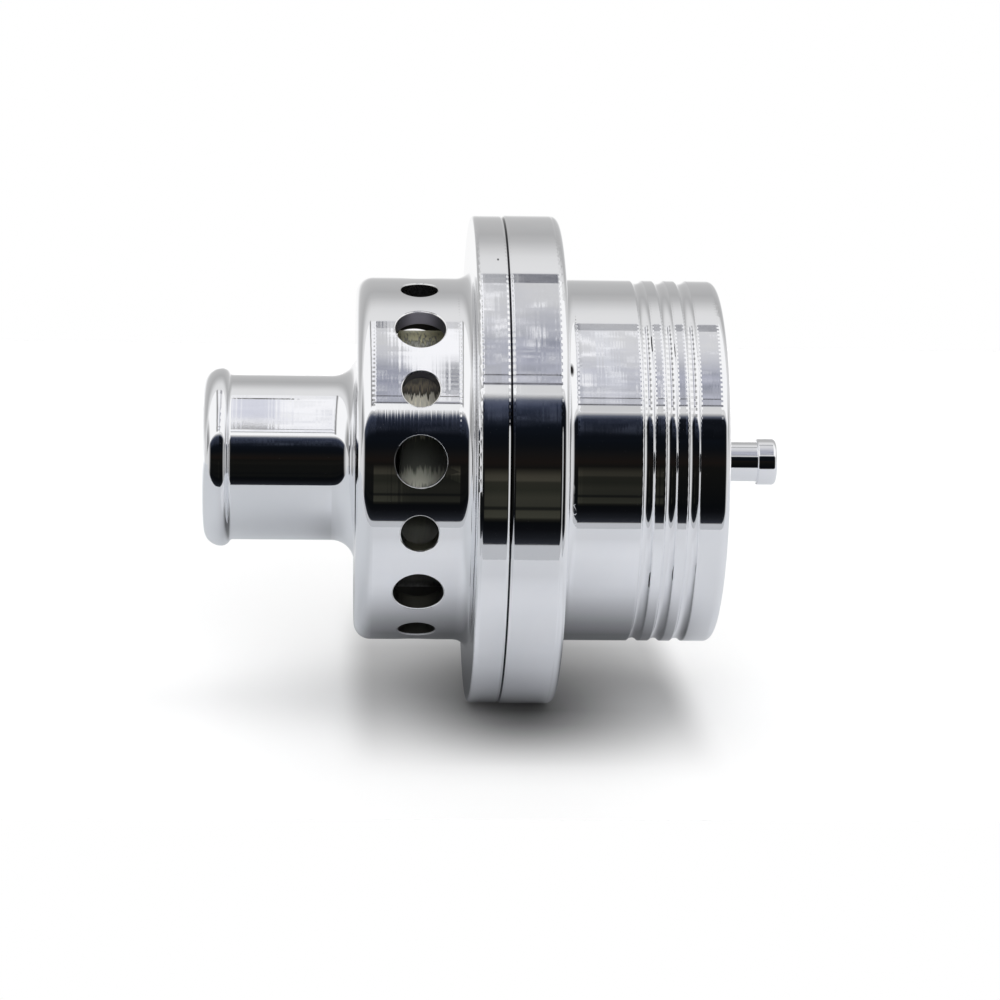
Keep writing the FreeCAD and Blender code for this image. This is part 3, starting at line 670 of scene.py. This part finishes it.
# Painted shadow under the valve, a soft dark area in the floor's colour: its stretch along the
# axis and the blur of its ends, then its depth across the floor, for the whole body and for the
# flange
BODY_SPAN = (23.0, 74.0, 7)
BODY_PAINTED_SHADOW = [
    (-50, 0.0), (-44, 0.03), (-36, 0.1), (-27, 0.18), (-18, 0.25), (-9, 0.31), (0, 0.35),
    (35, 0.4), (50, 0.28), (80, 0.0),
]
FLANGE_SPAN = (38.0, 60.0, 22)
FLANGE_PAINTED_SHADOW = [
    (-55, 0.0), (-44, 0.06), (-36, 0.2), (-27, 0.42), (-18, 0.67), (-9, 0.8), (1, 0.72),
    (12, 0.54), (24, 0.32), (35, 0.2), (60, 0.0),
]

# The floor as the metal shows it, with painted light and shade: its colour left and right of
# NEAR_EDGE, darker near the valve, and in the distance; and its painted strength by the place
# across the floor, for the stretch under the body
NEAR_LEFT, NEAR_RIGHT, FAR = srgb(190, 193, 197), srgb(204, 206, 210), grey(252)
NEAR_EDGE = (8, 34)
FAR_EDGE = (60, 220)
MIRRORED_SPAN = (21, 73, 16)
MIRRORED_TOP = 1.4
MIRRORED_PAINTED_LIGHT = [
    (-72, 0.98), (-60, 0.98), (-54, 1.08), (-46, 1.18), (-41, 1.22), (-35, 1.3), (-28, 1.4),
    (-23, 1.33), (-17, 1.05), (-11, 0.75), (-8.6, 0.65), (-2.4, 0.48), (1.8, 0.38), (60, 0.38),
    (200, 1.0),
]
FLOOR_TONES = (grey(245), grey(248))

# Glow that brings the floor up to the white backdrop, its share in reflections, and the painted
# shadow's share there
FLOOR_GLOW = 0.06
GLOSSY_GLOW = 0.25
GLOSSY_PAINTED_SHADOW = 0.25


def rescale_mm(tree, value, low, high, smooth=False):
    return rescale(tree, value, low * MM, high * MM, smooth=smooth)


# Painted shadow: a soft dark area in the floor's colour, as a factor that is one outside it
def painted_shadow(tree, x, y, span, table):
    across = window_mm(tree, x, *span)
    along = strength(tree, y, in_metres(table), 1.0)
    return inverse(tree, multiply(tree, across, along))


def floor_material():
    """White floor that keeps the valve's shadow, deepened by a painted shadow in its colour. Metal
    shows it with painted light and shade, a little darker near the valve.
    """
    material, tree, shader = new_material("floor_white")
    place = add_node(tree, "TexCoord").outputs["Object"]
    x, y, _ = split(tree, place)
    rays = add_node(tree, "LightPath").outputs
    glossy = rays["Is Glossy Ray"]

    # Painted light and shade in the floor that the metal mirrors: lifted in front of the valve,
    # darker under and behind it
    near = mix_colours(tree, rescale_mm(tree, x, *NEAR_EDGE), NEAR_LEFT, NEAR_RIGHT)
    lift = strength(tree, y, in_metres(MIRRORED_PAINTED_LIGHT), MIRRORED_TOP)
    lift = multiply(tree, lift, MIRRORED_TOP)
    lift = mix_values(tree, window_mm(tree, x, *MIRRORED_SPAN), 1.0, lift)
    far = rescale_mm(tree, y, *FAR_EDGE, smooth=True)
    mirrored = mix_colours(tree, far, dimmed(tree, near, lift), FAR)
    tone = noise(tree, place, scale=9, detail=2.0)
    colour = mix_colours(tree, tone, *FLOOR_TONES)
    colour = mix_colours(tree, glossy, colour, mirrored)

    # Painted shadow under the body and the flange, darkening the floor's colour and glow;
    # reflections get a faint share
    painted_shadow_factor = multiply(tree, painted_shadow(tree, x, y, BODY_SPAN, BODY_PAINTED_SHADOW),
                     painted_shadow(tree, x, y, FLANGE_SPAN, FLANGE_PAINTED_SHADOW))
    faint = multiply_add(tree, painted_shadow_factor, GLOSSY_PAINTED_SHADOW, 1 - GLOSSY_PAINTED_SHADOW)
    painted_shadow_factor = mix_values(tree, glossy, painted_shadow_factor, faint)
    seen = calc(tree, "ADD", rays["Is Camera Ray"], multiply(tree, glossy, GLOSSY_GLOW))
    feed(tree, shader, Base_Color=dimmed(tree, colour, painted_shadow_factor), Roughness=0.9,
         Specular_IOR_Level=0.0, Emission_Color=(1.0, 1.0, 1.0, 1.0),
         Emission_Strength=multiply(tree, seen, painted_shadow_factor, FLOOR_GLOW))
    return material


def make_floor():
    middle_x = (cad_low.x + cad_high.x) / 2
    corners = [
        (middle_x - FLOOR_SIDE, FLOOR_FRONT, 0.0),
        (middle_x + FLOOR_SIDE, FLOOR_FRONT, 0.0),
        (middle_x + FLOOR_SIDE, FLOOR_BACK, 0.0),
        (middle_x - FLOOR_SIDE, FLOOR_BACK, 0.0),
    ]
    mesh = bpy.data.meshes.new("floor")
    mesh.from_pydata(corners, [], [(0, 1, 2, 3)])
    floor = bpy.data.objects.new("floor", mesh)
    floor.location.z = cad_low.z
    mesh.materials.append(floor_material())
    bpy.context.scene.collection.objects.link(floor)


# The room as polished metal shows it. Angles are above the level on the camera's side (-Y), and
# a ray's lean is its part along the axis, which tells the parts of the valve apart. The tables
# give colours by angle, for the dark front, the olive patches in it and the room behind.
FRONT_SPAN = (-30.8, 40)
FRONT = [
    (-30.8, grey(180)), (-30.4, srgb(44, 46, 52)), (-27, srgb(26, 28, 32)),
    (-23, srgb(12, 13, 16)), (-19.5, srgb(9, 11, 13)), (5, srgb(17, 17, 16)),
    (8, srgb(24, 20, 18)), (12, srgb(20, 19, 19)), (16, srgb(13, 15, 18)), (20, srgb(12, 15, 20)),
    (24, srgb(15, 19, 26)), (28, srgb(22, 27, 37)), (31.5, srgb(34, 40, 54)),
    (34.5, srgb(52, 58, 76)), (36.8, srgb(96, 101, 114)), (38.4, grey(186)), (39.4, grey(222)),
    (40, grey(224)),
]
OLIVE_SPAN = (-20, 5)
OLIVE = [
    (-20, srgb(8, 9, 11)), (-18.6, srgb(30, 30, 26)), (-17.6, srgb(60, 60, 52)),
    (-14.6, srgb(56, 56, 48)), (-14.0, srgb(26, 27, 25)), (-13.0, srgb(28, 29, 26)),
    (-12.4, srgb(50, 50, 44)), (-8.5, srgb(52, 52, 45)), (-5, srgb(40, 41, 35)),
    (-1.5, srgb(42, 42, 36)), (-0.5, srgb(64, 62, 54)), (1.5, srgb(60, 58, 50)),
    (5, srgb(20, 19, 17)),
]
BAND_START = 39.4
LIGHT_START = (43.1, 43.5)
BACK_START = (105.0, 106.0)
BACK_SPAN = (98, 180)
BACK = [
    (98.0, grey(200)), (105.0, grey(228)), (113, grey(226)), (118, grey(222)), (124, grey(208)),
    (132, grey(187)), (140, grey(177)), (150, grey(183)), (160, grey(188)), (170, grey(198)),
    (176, grey(225)), (180, grey(250)),
]
# Below the front's start: in front of the valve and behind it, which mix over BEHIND
BELOW_FRONT, BELOW_BEHIND = srgb(184, 186, 190), grey(250)
BEHIND = (0.0, 0.2)

# The room's ends, by lean, which edges and rounds show between the angles of UPPER
ENDS = [
    (-1.0, grey(150)), (-0.96, grey(140)), (-0.86, grey(252)), (-0.36, grey(252)),
    (-0.3, grey(160)), (-0.26, grey(110)), (-0.2, grey(200)), (0.2, grey(215)),
    (0.26, grey(252)), (0.86, grey(252)), (0.96, grey(170)), (1.0, grey(170)),
]
ENDS_START = (0.2, 0.26)
UPPER = (42, 108, 2)
LOWER_RIGHT_END, LOWER_LEFT_END = (0.62, 0.86), (-0.96, -0.86)
LOWER_END = grey(216)

# Where each part of the valve begins, as the lean of the rays that it mirrors to the camera:
# spigot, drum, the drum's middle, body flange, cap flange, cap and the cap's right end
PARTS = (-0.2, 0.007, 0.021, 0.045, 0.057, 0.0755, 0.104)
PARTS_END = 0.2
PART_BLUR = 0.0006

# Grey level of the narrow band and of the light above it, then shares from 0 to 1
BAND = (252, 246, 242, 226, 214, 205, 215)
BRIGHT = (250, 208, 220, 207, 209, 218, 219)
SHADE = (0.05, 0.95, 0.6, 0.55, 0.85, 0.5, 0.85)
STRIP = (0.05, 0.95, 0.9, 0.5, 1.0, 0.5, 0.7)
OLIVES = (0.05, 0.7, 0.3, 0.9, 0.9, 0.5, 0.0)
REFLECTED_SMEARS = (0.5, 0.3, 0.36, 0.38, 0.36, 0.4, 0.28)
COMB = (0.15, 0.12, 0.12, 0.2, 0.15, 0.03, 0.03)
NAVY = (0.7, 0.45, 0.45, 1.0, 0.9, 0.5, 0.05)
SHADE_ANGLE = [
    (44, 0.75), (52, 0.85), (57, 1.0), (65, 1.0), (70, 0.6), (77, 0.2), (86, 0.0), (100, 0.0),
]

# Marks drawn into the room's light, which the metal shows as painted reflections: stretch of lean
# with its blur, and stretch of angle with its blur
DRUM_REFLECTED_SCORES = ((0.007, 0.021, 0.001), (50, 74, 8))
FLANGE_REFLECTED_SCORES = ((0.0595, 0.0735, 0.005), (54, 84, 12))
SPIGOT_REFLECTED_STAIN = ((-0.031, -0.0165, 0.006), (64, 140, 6))
SPIGOT_TEETH = ((-0.031, -0.0175, 0.004), (48, 74, 3))
SPIGOT_DASH = ((-0.0305, -0.012, 0.0005), (97.5, 99.6, 0.3))
DRUM_REFLECTED_SMUDGE = ((0.0345, 0.0455, 0.006), (48, 72, 16))
CAP_BAND = ((0.093, 0.0968, 0.003), (56, 98, 12))
CAP_REFLECTED_CRACK = ((0.097, 0.0979, 0.0004), (66, 90, 14))
REFLECTED_SMEAR_ANGLES = (45, 99, 2)
STRIP_ANGLES = (98.8, 105.0, 0.5)
STRIP_GAP = (0.0155, 0.0455, 0.002)
DARK_LINES = ((43.5, 44.4, 0.25), (47.9, 48.6, 0.25))

# The drum's ragged edge of light: stretch of lean, and how it moves between two angles
RAGGED_SPAN = (0.0125, 0.034, 0.003)
RAGGED_SHIFT = (66, 95, -0.0042, 0.0028)

# The drum's bright fan: it opens to both sides of an angle and ends at the flange
FAN_ANGLE = 94.0
FAN_SLOPE = -0.00025
FAN_START = (0.017, 0.021)
FAN_END = 0.0455
FAN_STRENGTH = 0.7

# How far the cap's reflected crease and split slant along the axis by the degree, and the
# strengths of the marks drawn into the light
CAP_SLANT = 0.00013
REFLECTED_STAIN_STRENGTH = 0.7
TEETH_STRENGTH = 0.9
REFLECTED_FOLD_STRENGTH = 0.45
REFLECTED_CRACK_STRENGTH = 0.5
HAZE_STRENGTH = 0.4

# How far cloud moves the drum's edge of light and the fan's edge, and how far teeth stand out
CLOUD_TO_EDGE = 0.03
CLOUD_TO_FAN = 0.012
REFLECTED_STAIN_RAGGED = 26
TEETH_LENGTH = 90

# In front: angles of the plain dark and of the haze, with their blur
PLAIN_ANGLES = (22, 36.0, 3)
HAZE_ANGLES = (26, 38, 6)

# Colours of the marks drawn into the room's light
SHADED_LIGHT = srgb(136, 139, 150)
COOL_LIGHT = srgb(190, 192, 214)
REFLECTED_WIPE = srgb(150, 153, 166)
DRUM_REFLECTED_SCORE = srgb(110, 114, 128)
FLANGE_REFLECTED_SCORE = srgb(126, 130, 144)
REFLECTED_SMEAR = srgb(252, 252, 254)
REFLECTED_STAIN = srgb(200, 202, 216)
TOOTH = grey(60)
REFLECTED_FOLD = srgb(238, 240, 247)
REFLECTED_CRACK = srgb(128, 132, 146)
REFLECTED_SMUDGE = srgb(120, 122, 130)
LINE = grey(52)
DASH = grey(60)
DARK_STRIP = srgb(92, 94, 104)
PLAIN_DARK = srgb(11, 13, 17)
HAZE = srgb(112, 118, 138)

# The room's broad light, as the floor's shadow tells it: strength by lean and by angle
LIGHT_LEAN = [
    (-0.62, 0.0), (-0.54, 0.55), (-0.2, 0.5), (-0.05, 0.78), (0.12, 0.6), (0.26, 0.9), (0.4, 1.0),
    (0.47, 0.6), (0.56, 0.0),
]
LIGHT_ANGLE = [
    (0, 0.5), (10, 1.6), (18, 2.2), (30, 1.5), (42, 0.75), (60, 0.6), (78, 0.8), (90, 1.05),
    (112, 0.9), (122, 0.3), (138, 0.3), (150, 0.9), (180, 1.1),
]
LIGHT_TOP = 2.2
LIGHT_LEVEL = 6.5
LIGHT_LEAST = 0.02


def by_part(tree, lean, levels):
    """Grey level by the part of the valve that mirrors a ray of this lean."""
    return steps(tree, lean, PARTS[0], PARTS_END, list(zip(PARTS, levels)), PART_BLUR)


def amount_by_part(tree, lean, amounts):
    return by_part(tree, lean, [share(amount) for amount in amounts])


def mark(tree, lean, angle, place):
    """One within a mark's stretches of lean and angle."""
    return multiply(tree, window(tree, lean, *place[0]), window(tree, angle, *place[1]))


def shaded_light(tree, ragged, angle, cloud):
    """The light above by part, darker where the metal looks on the darker part of the room."""
    shade = multiply(tree, strength(tree, angle, SHADE_ANGLE, 1.0),
                     amount_by_part(tree, ragged, SHADE))
    uneven = rescale(tree, cloud, 0.25, 0.75, 1.35, 0.5)
    shade = calc(tree, "MULTIPLY", shade, uneven, clamp=True)
    return mix_colours(tree, shade, by_part(tree, ragged, BRIGHT), SHADED_LIGHT)


def with_reflected_wipes(tree, light, across, angle, cloud):
    """Cool tint and wipe marks drawn over the room's light, which the metal shows as painted
    reflections.
    """
    slant = combine(tree, multiply_add(tree, angle, 0.42, across), multiply(tree, angle, 0.06), 0.0)
    hatch = noise(tree, slant, scale=1.0, detail=3.0)
    tint = multiply(tree, rescale(tree, cloud, 0.35, 0.65, 0.0, 0.5),
                    rescale(tree, angle, 60, 90, 1.0, 0.3))
    light = mix_colours(tree, tint, light, COOL_LIGHT)
    return mix_colours(tree, rescale(tree, hatch, 0.5, 0.7, 0.0, 0.3), light, REFLECTED_WIPE)


def with_reflected_scores(tree, light, x, ragged, angle, lines):
    """Slanted scores drawn into the room's light where the drum and the cap flange mirror it:
    painted reflections, not marks on the part.
    """
    drum = multiply(tree, mark(tree, ragged, angle, DRUM_REFLECTED_SCORES),
                    rescale(tree, lines, 0.0, 0.8, 0.0, 0.4))
    light = mix_colours(tree, drum, light, DRUM_REFLECTED_SCORE)
    flange = multiply(tree, mark(tree, x, angle, FLANGE_REFLECTED_SCORES),
                      rescale(tree, lines, -0.2, 0.8, 0.1, 0.45))
    return mix_colours(tree, flange, light, FLANGE_REFLECTED_SCORE)


def with_reflected_smears(tree, light, x, ragged, angle, cloud, dots, smudge):
    """White smears, and the fan of light where the drum mirrors it with its smudge, all drawn into
    the room's light: painted reflections, not marks on the part.
    """
    smear_light = stretched_noise(tree, x, angle, along=150, round_axis=1 / 13, detail=4.0,
                            distortion=1.5)
    smear_light = multiply_add(tree, centred(tree, dots), 0.25, smear_light)
    smear_light = calc(tree, "ADD", smear_light, amount_by_part(tree, ragged, REFLECTED_SMEARS))
    off_fan = calc(tree, "ABSOLUTE", calc(tree, "SUBTRACT", angle, FAN_ANGLE))
    slope = multiply_add(tree, off_fan, FAN_SLOPE, x)
    slope = multiply_add(tree, centred(tree, cloud), CLOUD_TO_FAN, slope)
    fan = multiply(tree, rescale(tree, slope, *FAN_START), calc(tree, "LESS_THAN", x, FAN_END))
    thinned = rescale(tree, dots, 0.45, 0.62, 0.0, 0.9)
    fan = multiply(tree, fan, mix_values(tree, smudge, 1.0, thinned))
    smear_light = multiply_add(tree, fan, FAN_STRENGTH, smear_light)
    smear_light = multiply(tree, rescale(tree, smear_light, 0.93, 1.03), window(tree, angle, *REFLECTED_SMEAR_ANGLES))
    return mix_colours(tree, smear_light, light, REFLECTED_SMEAR)


def with_reflected_stain(tree, light, x, angle):
    """Pale area with a ragged lower edge and the dark teeth below it, drawn into the room's light
    where the spigot mirrors them: painted reflections, not marks on the part.
    """
    ragged = centred(tree, noise_along(tree, x, scale=900, detail=2.0))
    tooth = multiply_add(tree, ragged, REFLECTED_STAIN_RAGGED, angle)
    painted_light = multiply(tree, mark(tree, x, tooth, SPIGOT_REFLECTED_STAIN),
                     rescale(tree, angle, 96, 99, 1.0, 0.0))
    light = mix_colours(tree, multiply(tree, painted_light, REFLECTED_STAIN_STRENGTH), light, REFLECTED_STAIN)
    teeth = noise_along(tree, x, scale=2600, detail=2.0)
    teeth = multiply_add(tree, teeth, TEETH_LENGTH, multiply(tree, angle, -1))
    teeth = multiply(tree, rescale(tree, teeth, -10, -3), window(tree, angle, *SPIGOT_TEETH[1]),
                     window(tree, x, *SPIGOT_TEETH[0]))
    return mix_colours(tree, multiply(tree, teeth, TEETH_STRENGTH), light, TOOTH)


def with_reflected_fold_and_crack(tree, light, x, angle):
    """Pale crease and dark split line, drawn into the room's light where the cap mirrors them:
    painted reflections, not marks on the part.
    """
    slanted_place = multiply_add(tree, angle, CAP_SLANT, x)
    band = multiply(tree, mark(tree, slanted_place, angle, CAP_BAND), REFLECTED_FOLD_STRENGTH)
    light = mix_colours(tree, band, light, REFLECTED_FOLD)
    crack_light = multiply(tree, mark(tree, slanted_place, angle, CAP_REFLECTED_CRACK), REFLECTED_CRACK_STRENGTH)
    return mix_colours(tree, crack_light, light, REFLECTED_CRACK)


def lined(tree, light, x, angle, lines, dots):
    """Two dark lines low in the light, a dash on the spigot, and a dark strip high in it."""
    broken = noise_along(tree, x, scale=260, detail=1.0)
    broken = rescale(tree, broken, 0.42, 0.5, 0.45, 0.85)
    for place in DARK_LINES:
        line = multiply(tree, window(tree, angle, *place), broken)
        light = mix_colours(tree, line, light, LINE)
    dash = multiply(tree, window(tree, x, *SPIGOT_DASH[0]), rescale(tree, broken, 0.5, 0.6))
    dash = multiply(tree, window(tree, angle, *SPIGOT_DASH[1]), dash)
    light = mix_colours(tree, dash, light, DASH)
    strip = multiply(tree, window(tree, angle, *STRIP_ANGLES), amount_by_part(tree, x, STRIP),
                     rescale(tree, lines, -0.2, 0.9, 1.0, 0.35))
    gap = multiply(tree, window(tree, x, *STRIP_GAP), rescale(tree, dots, 0.42, 0.56, 0.85, 1.0))
    return mix_colours(tree, multiply(tree, strip, inverse(tree, gap)), light, DARK_STRIP)


def room_above(tree, x, angle, cloud):
    """Soft light above the valve, with marks drawn into it that the metal shows as painted
    reflections.
    """
    shift = multiply_add(tree, centred(tree, cloud), CLOUD_TO_EDGE,
                         rescale(tree, angle, *RAGGED_SHIFT))
    ragged = multiply_add(tree, shift, window(tree, x, *RAGGED_SPAN), x)
    across = multiply(tree, x, 1000)
    lines = multiply_add(tree, angle, 1.1, multiply(tree, cloud, 9))
    lines = calc(tree, "SINE", multiply_add(tree, across, 3.2, lines))
    dots = stretched_noise(tree, x, angle, along=850, round_axis=0.36, detail=0.0)
    smudge = mark(tree, x, angle, DRUM_REFLECTED_SMUDGE)

    light = shaded_light(tree, ragged, angle, cloud)
    light = with_reflected_wipes(tree, light, across, angle, cloud)
    light = with_reflected_scores(tree, light, x, ragged, angle, lines)
    light = with_reflected_smears(tree, light, x, ragged, angle, cloud, dots, smudge)
    light = with_reflected_stain(tree, light, x, angle)
    light = with_reflected_fold_and_crack(tree, light, x, angle)
    # Dark smudge drawn into the room's light where the drum mirrors it: a painted reflection
    smudge = multiply(tree, smudge, rescale(tree, dots, 0.68, 0.52, 0.0, 1.0))
    light = mix_colours(tree, smudge, light, REFLECTED_SMUDGE)
    return lined(tree, light, x, angle, lines, dots)


def room_front(tree, x, angle, cloud):
    """Dark room in front, with a soft comb where the light begins."""
    comb = noise_along(tree, x, scale=1500, detail=1.0)
    comb = rescale(tree, comb, 0.3, 0.7, -1.5, 7.0)
    shifted = multiply_add(tree, comb, amount_by_part(tree, x, COMB), angle)
    front = ramp(tree, shifted, *FRONT_SPAN, FRONT)
    navy = amount_by_part(tree, x, NAVY)
    plain = multiply(tree, inverse(tree, navy), window(tree, shifted, *PLAIN_ANGLES))
    front = mix_colours(tree, plain, front, PLAIN_DARK)
    haze = multiply(tree, window(tree, angle, *HAZE_ANGLES), rescale(tree, cloud, 0.48, 0.62),
                    navy, HAZE_STRENGTH)
    front = mix_colours(tree, haze, front, HAZE)
    olives = multiply(tree, amount_by_part(tree, x, OLIVES), window(tree, angle, *OLIVE_SPAN, 0.2))
    return mix_colours(tree, olives, front, ramp(tree, angle, *OLIVE_SPAN, OLIVE))


def room_colour(tree, x, y, angle):
    cloud = stretched_noise(tree, x, angle, along=300, round_axis=1 / 7.5, detail=4.0,
                            distortion=1.0)
    in_band = calc(tree, "GREATER_THAN", angle, BAND_START)
    room = mix_colours(tree, in_band, room_front(tree, x, angle, cloud), by_part(tree, x, BAND))
    above = room_above(tree, x, angle, cloud)
    room = mix_colours(tree, rescale(tree, angle, *LIGHT_START), room, above)
    back = ramp(tree, angle, *BACK_SPAN, BACK)
    room = mix_colours(tree, rescale(tree, angle, *BACK_START), room, back)
    below = mix_colours(tree, rescale(tree, y, *BEHIND), BELOW_FRONT, BELOW_BEHIND)
    room = mix_colours(tree, calc(tree, "LESS_THAN", angle, FRONT_SPAN[0]), room, below)

    upper = window(tree, angle, *UPPER)
    beyond = rescale(tree, calc(tree, "ABSOLUTE", x), *ENDS_START)
    room = mix_colours(tree, multiply(tree, upper, beyond), room, ramp(tree, x, -1.0, 1.0, ENDS))
    side = calc(tree, "ADD", rescale(tree, x, *LOWER_RIGHT_END, smooth=True),
                rescale(tree, x, *LOWER_LEFT_END, 1.0, 0.0))
    return mix_colours(tree, multiply(tree, side, inverse(tree, upper)), room, LOWER_END)


def make_world():
    """Soft light from above for rough surfaces, the drawn room for polished ones, and white."""
    world = bpy.data.worlds.new("studio")
    world.use_nodes = True
    world.cycles.sampling_method = "NONE"
    tree = world.node_tree
    tree.nodes.clear()

    x, y, z = split(tree, add_node(tree, "TexCoord").outputs["Generated"])
    angle = calc(tree, "ARCTAN2", z, multiply(tree, y, -1.0))
    angle = multiply(tree, angle, 180 / math.pi)
    light = multiply(tree, strength(tree, x, LIGHT_LEAN, 1.0),
                     strength(tree, angle, LIGHT_ANGLE, LIGHT_TOP))
    light = multiply(tree, light, calc(tree, "GREATER_THAN", z, 0.0))
    light = multiply_add(tree, light, LIGHT_LEVEL, LIGHT_LEAST)
    colours = (combine(tree, light, light, light), room_colour(tree, x, y, angle),
               (1.0, 1.0, 1.0, 1.0))
    soft, room, white = (add_node(tree, "Background", {"Color": colour}).outputs[0]
                         for colour in colours)
    rays = add_node(tree, "LightPath").outputs
    lit = add_node(tree, "MixShader", {0: rays["Is Glossy Ray"], 1: soft, 2: room}).outputs[0]
    shown = calc(tree, "MAXIMUM", rays["Is Camera Ray"], rays["Is Transmission Ray"])
    seen = add_node(tree, "MixShader", {0: shown, 1: lit, 2: white}).outputs[0]
    output = add_node(tree, "OutputWorld")
    tree.links.new(seen, output.inputs["Surface"])
    bpy.context.scene.world = world


def make_camera():
    data = bpy.data.cameras.new("camera")
    data.sensor_width = SENSOR_WIDTH
    data.lens = FOCAL_LENGTH * SENSOR_WIDTH
    data.clip_start = CLIP_NEAR
    data.clip_end = CLIP_FAR
    camera = bpy.data.objects.new("camera", data)
    elevation = math.radians(CAMERA_ELEVATION)
    yaw = math.radians(CAMERA_YAW)
    towards = Vector((-math.sin(yaw) * math.cos(elevation),
                      -math.cos(yaw) * math.cos(elevation), math.sin(elevation)))
    camera.location = LOOK_POINT + towards * CAMERA_DISTANCE
    camera.rotation_mode = "QUATERNION"
    roll = Quaternion((0.0, 0.0, 1.0), math.radians(CAMERA_ROLL))
    camera.rotation_quaternion = (-towards).to_track_quat("-Z", "Y") @ roll
    bpy.context.scene.collection.objects.link(camera)
    bpy.context.scene.camera = camera


bpy.context.scene.view_settings.view_transform = "Standard"
make_camera()
dress_nodes()
make_spring()
make_floor()
make_world()
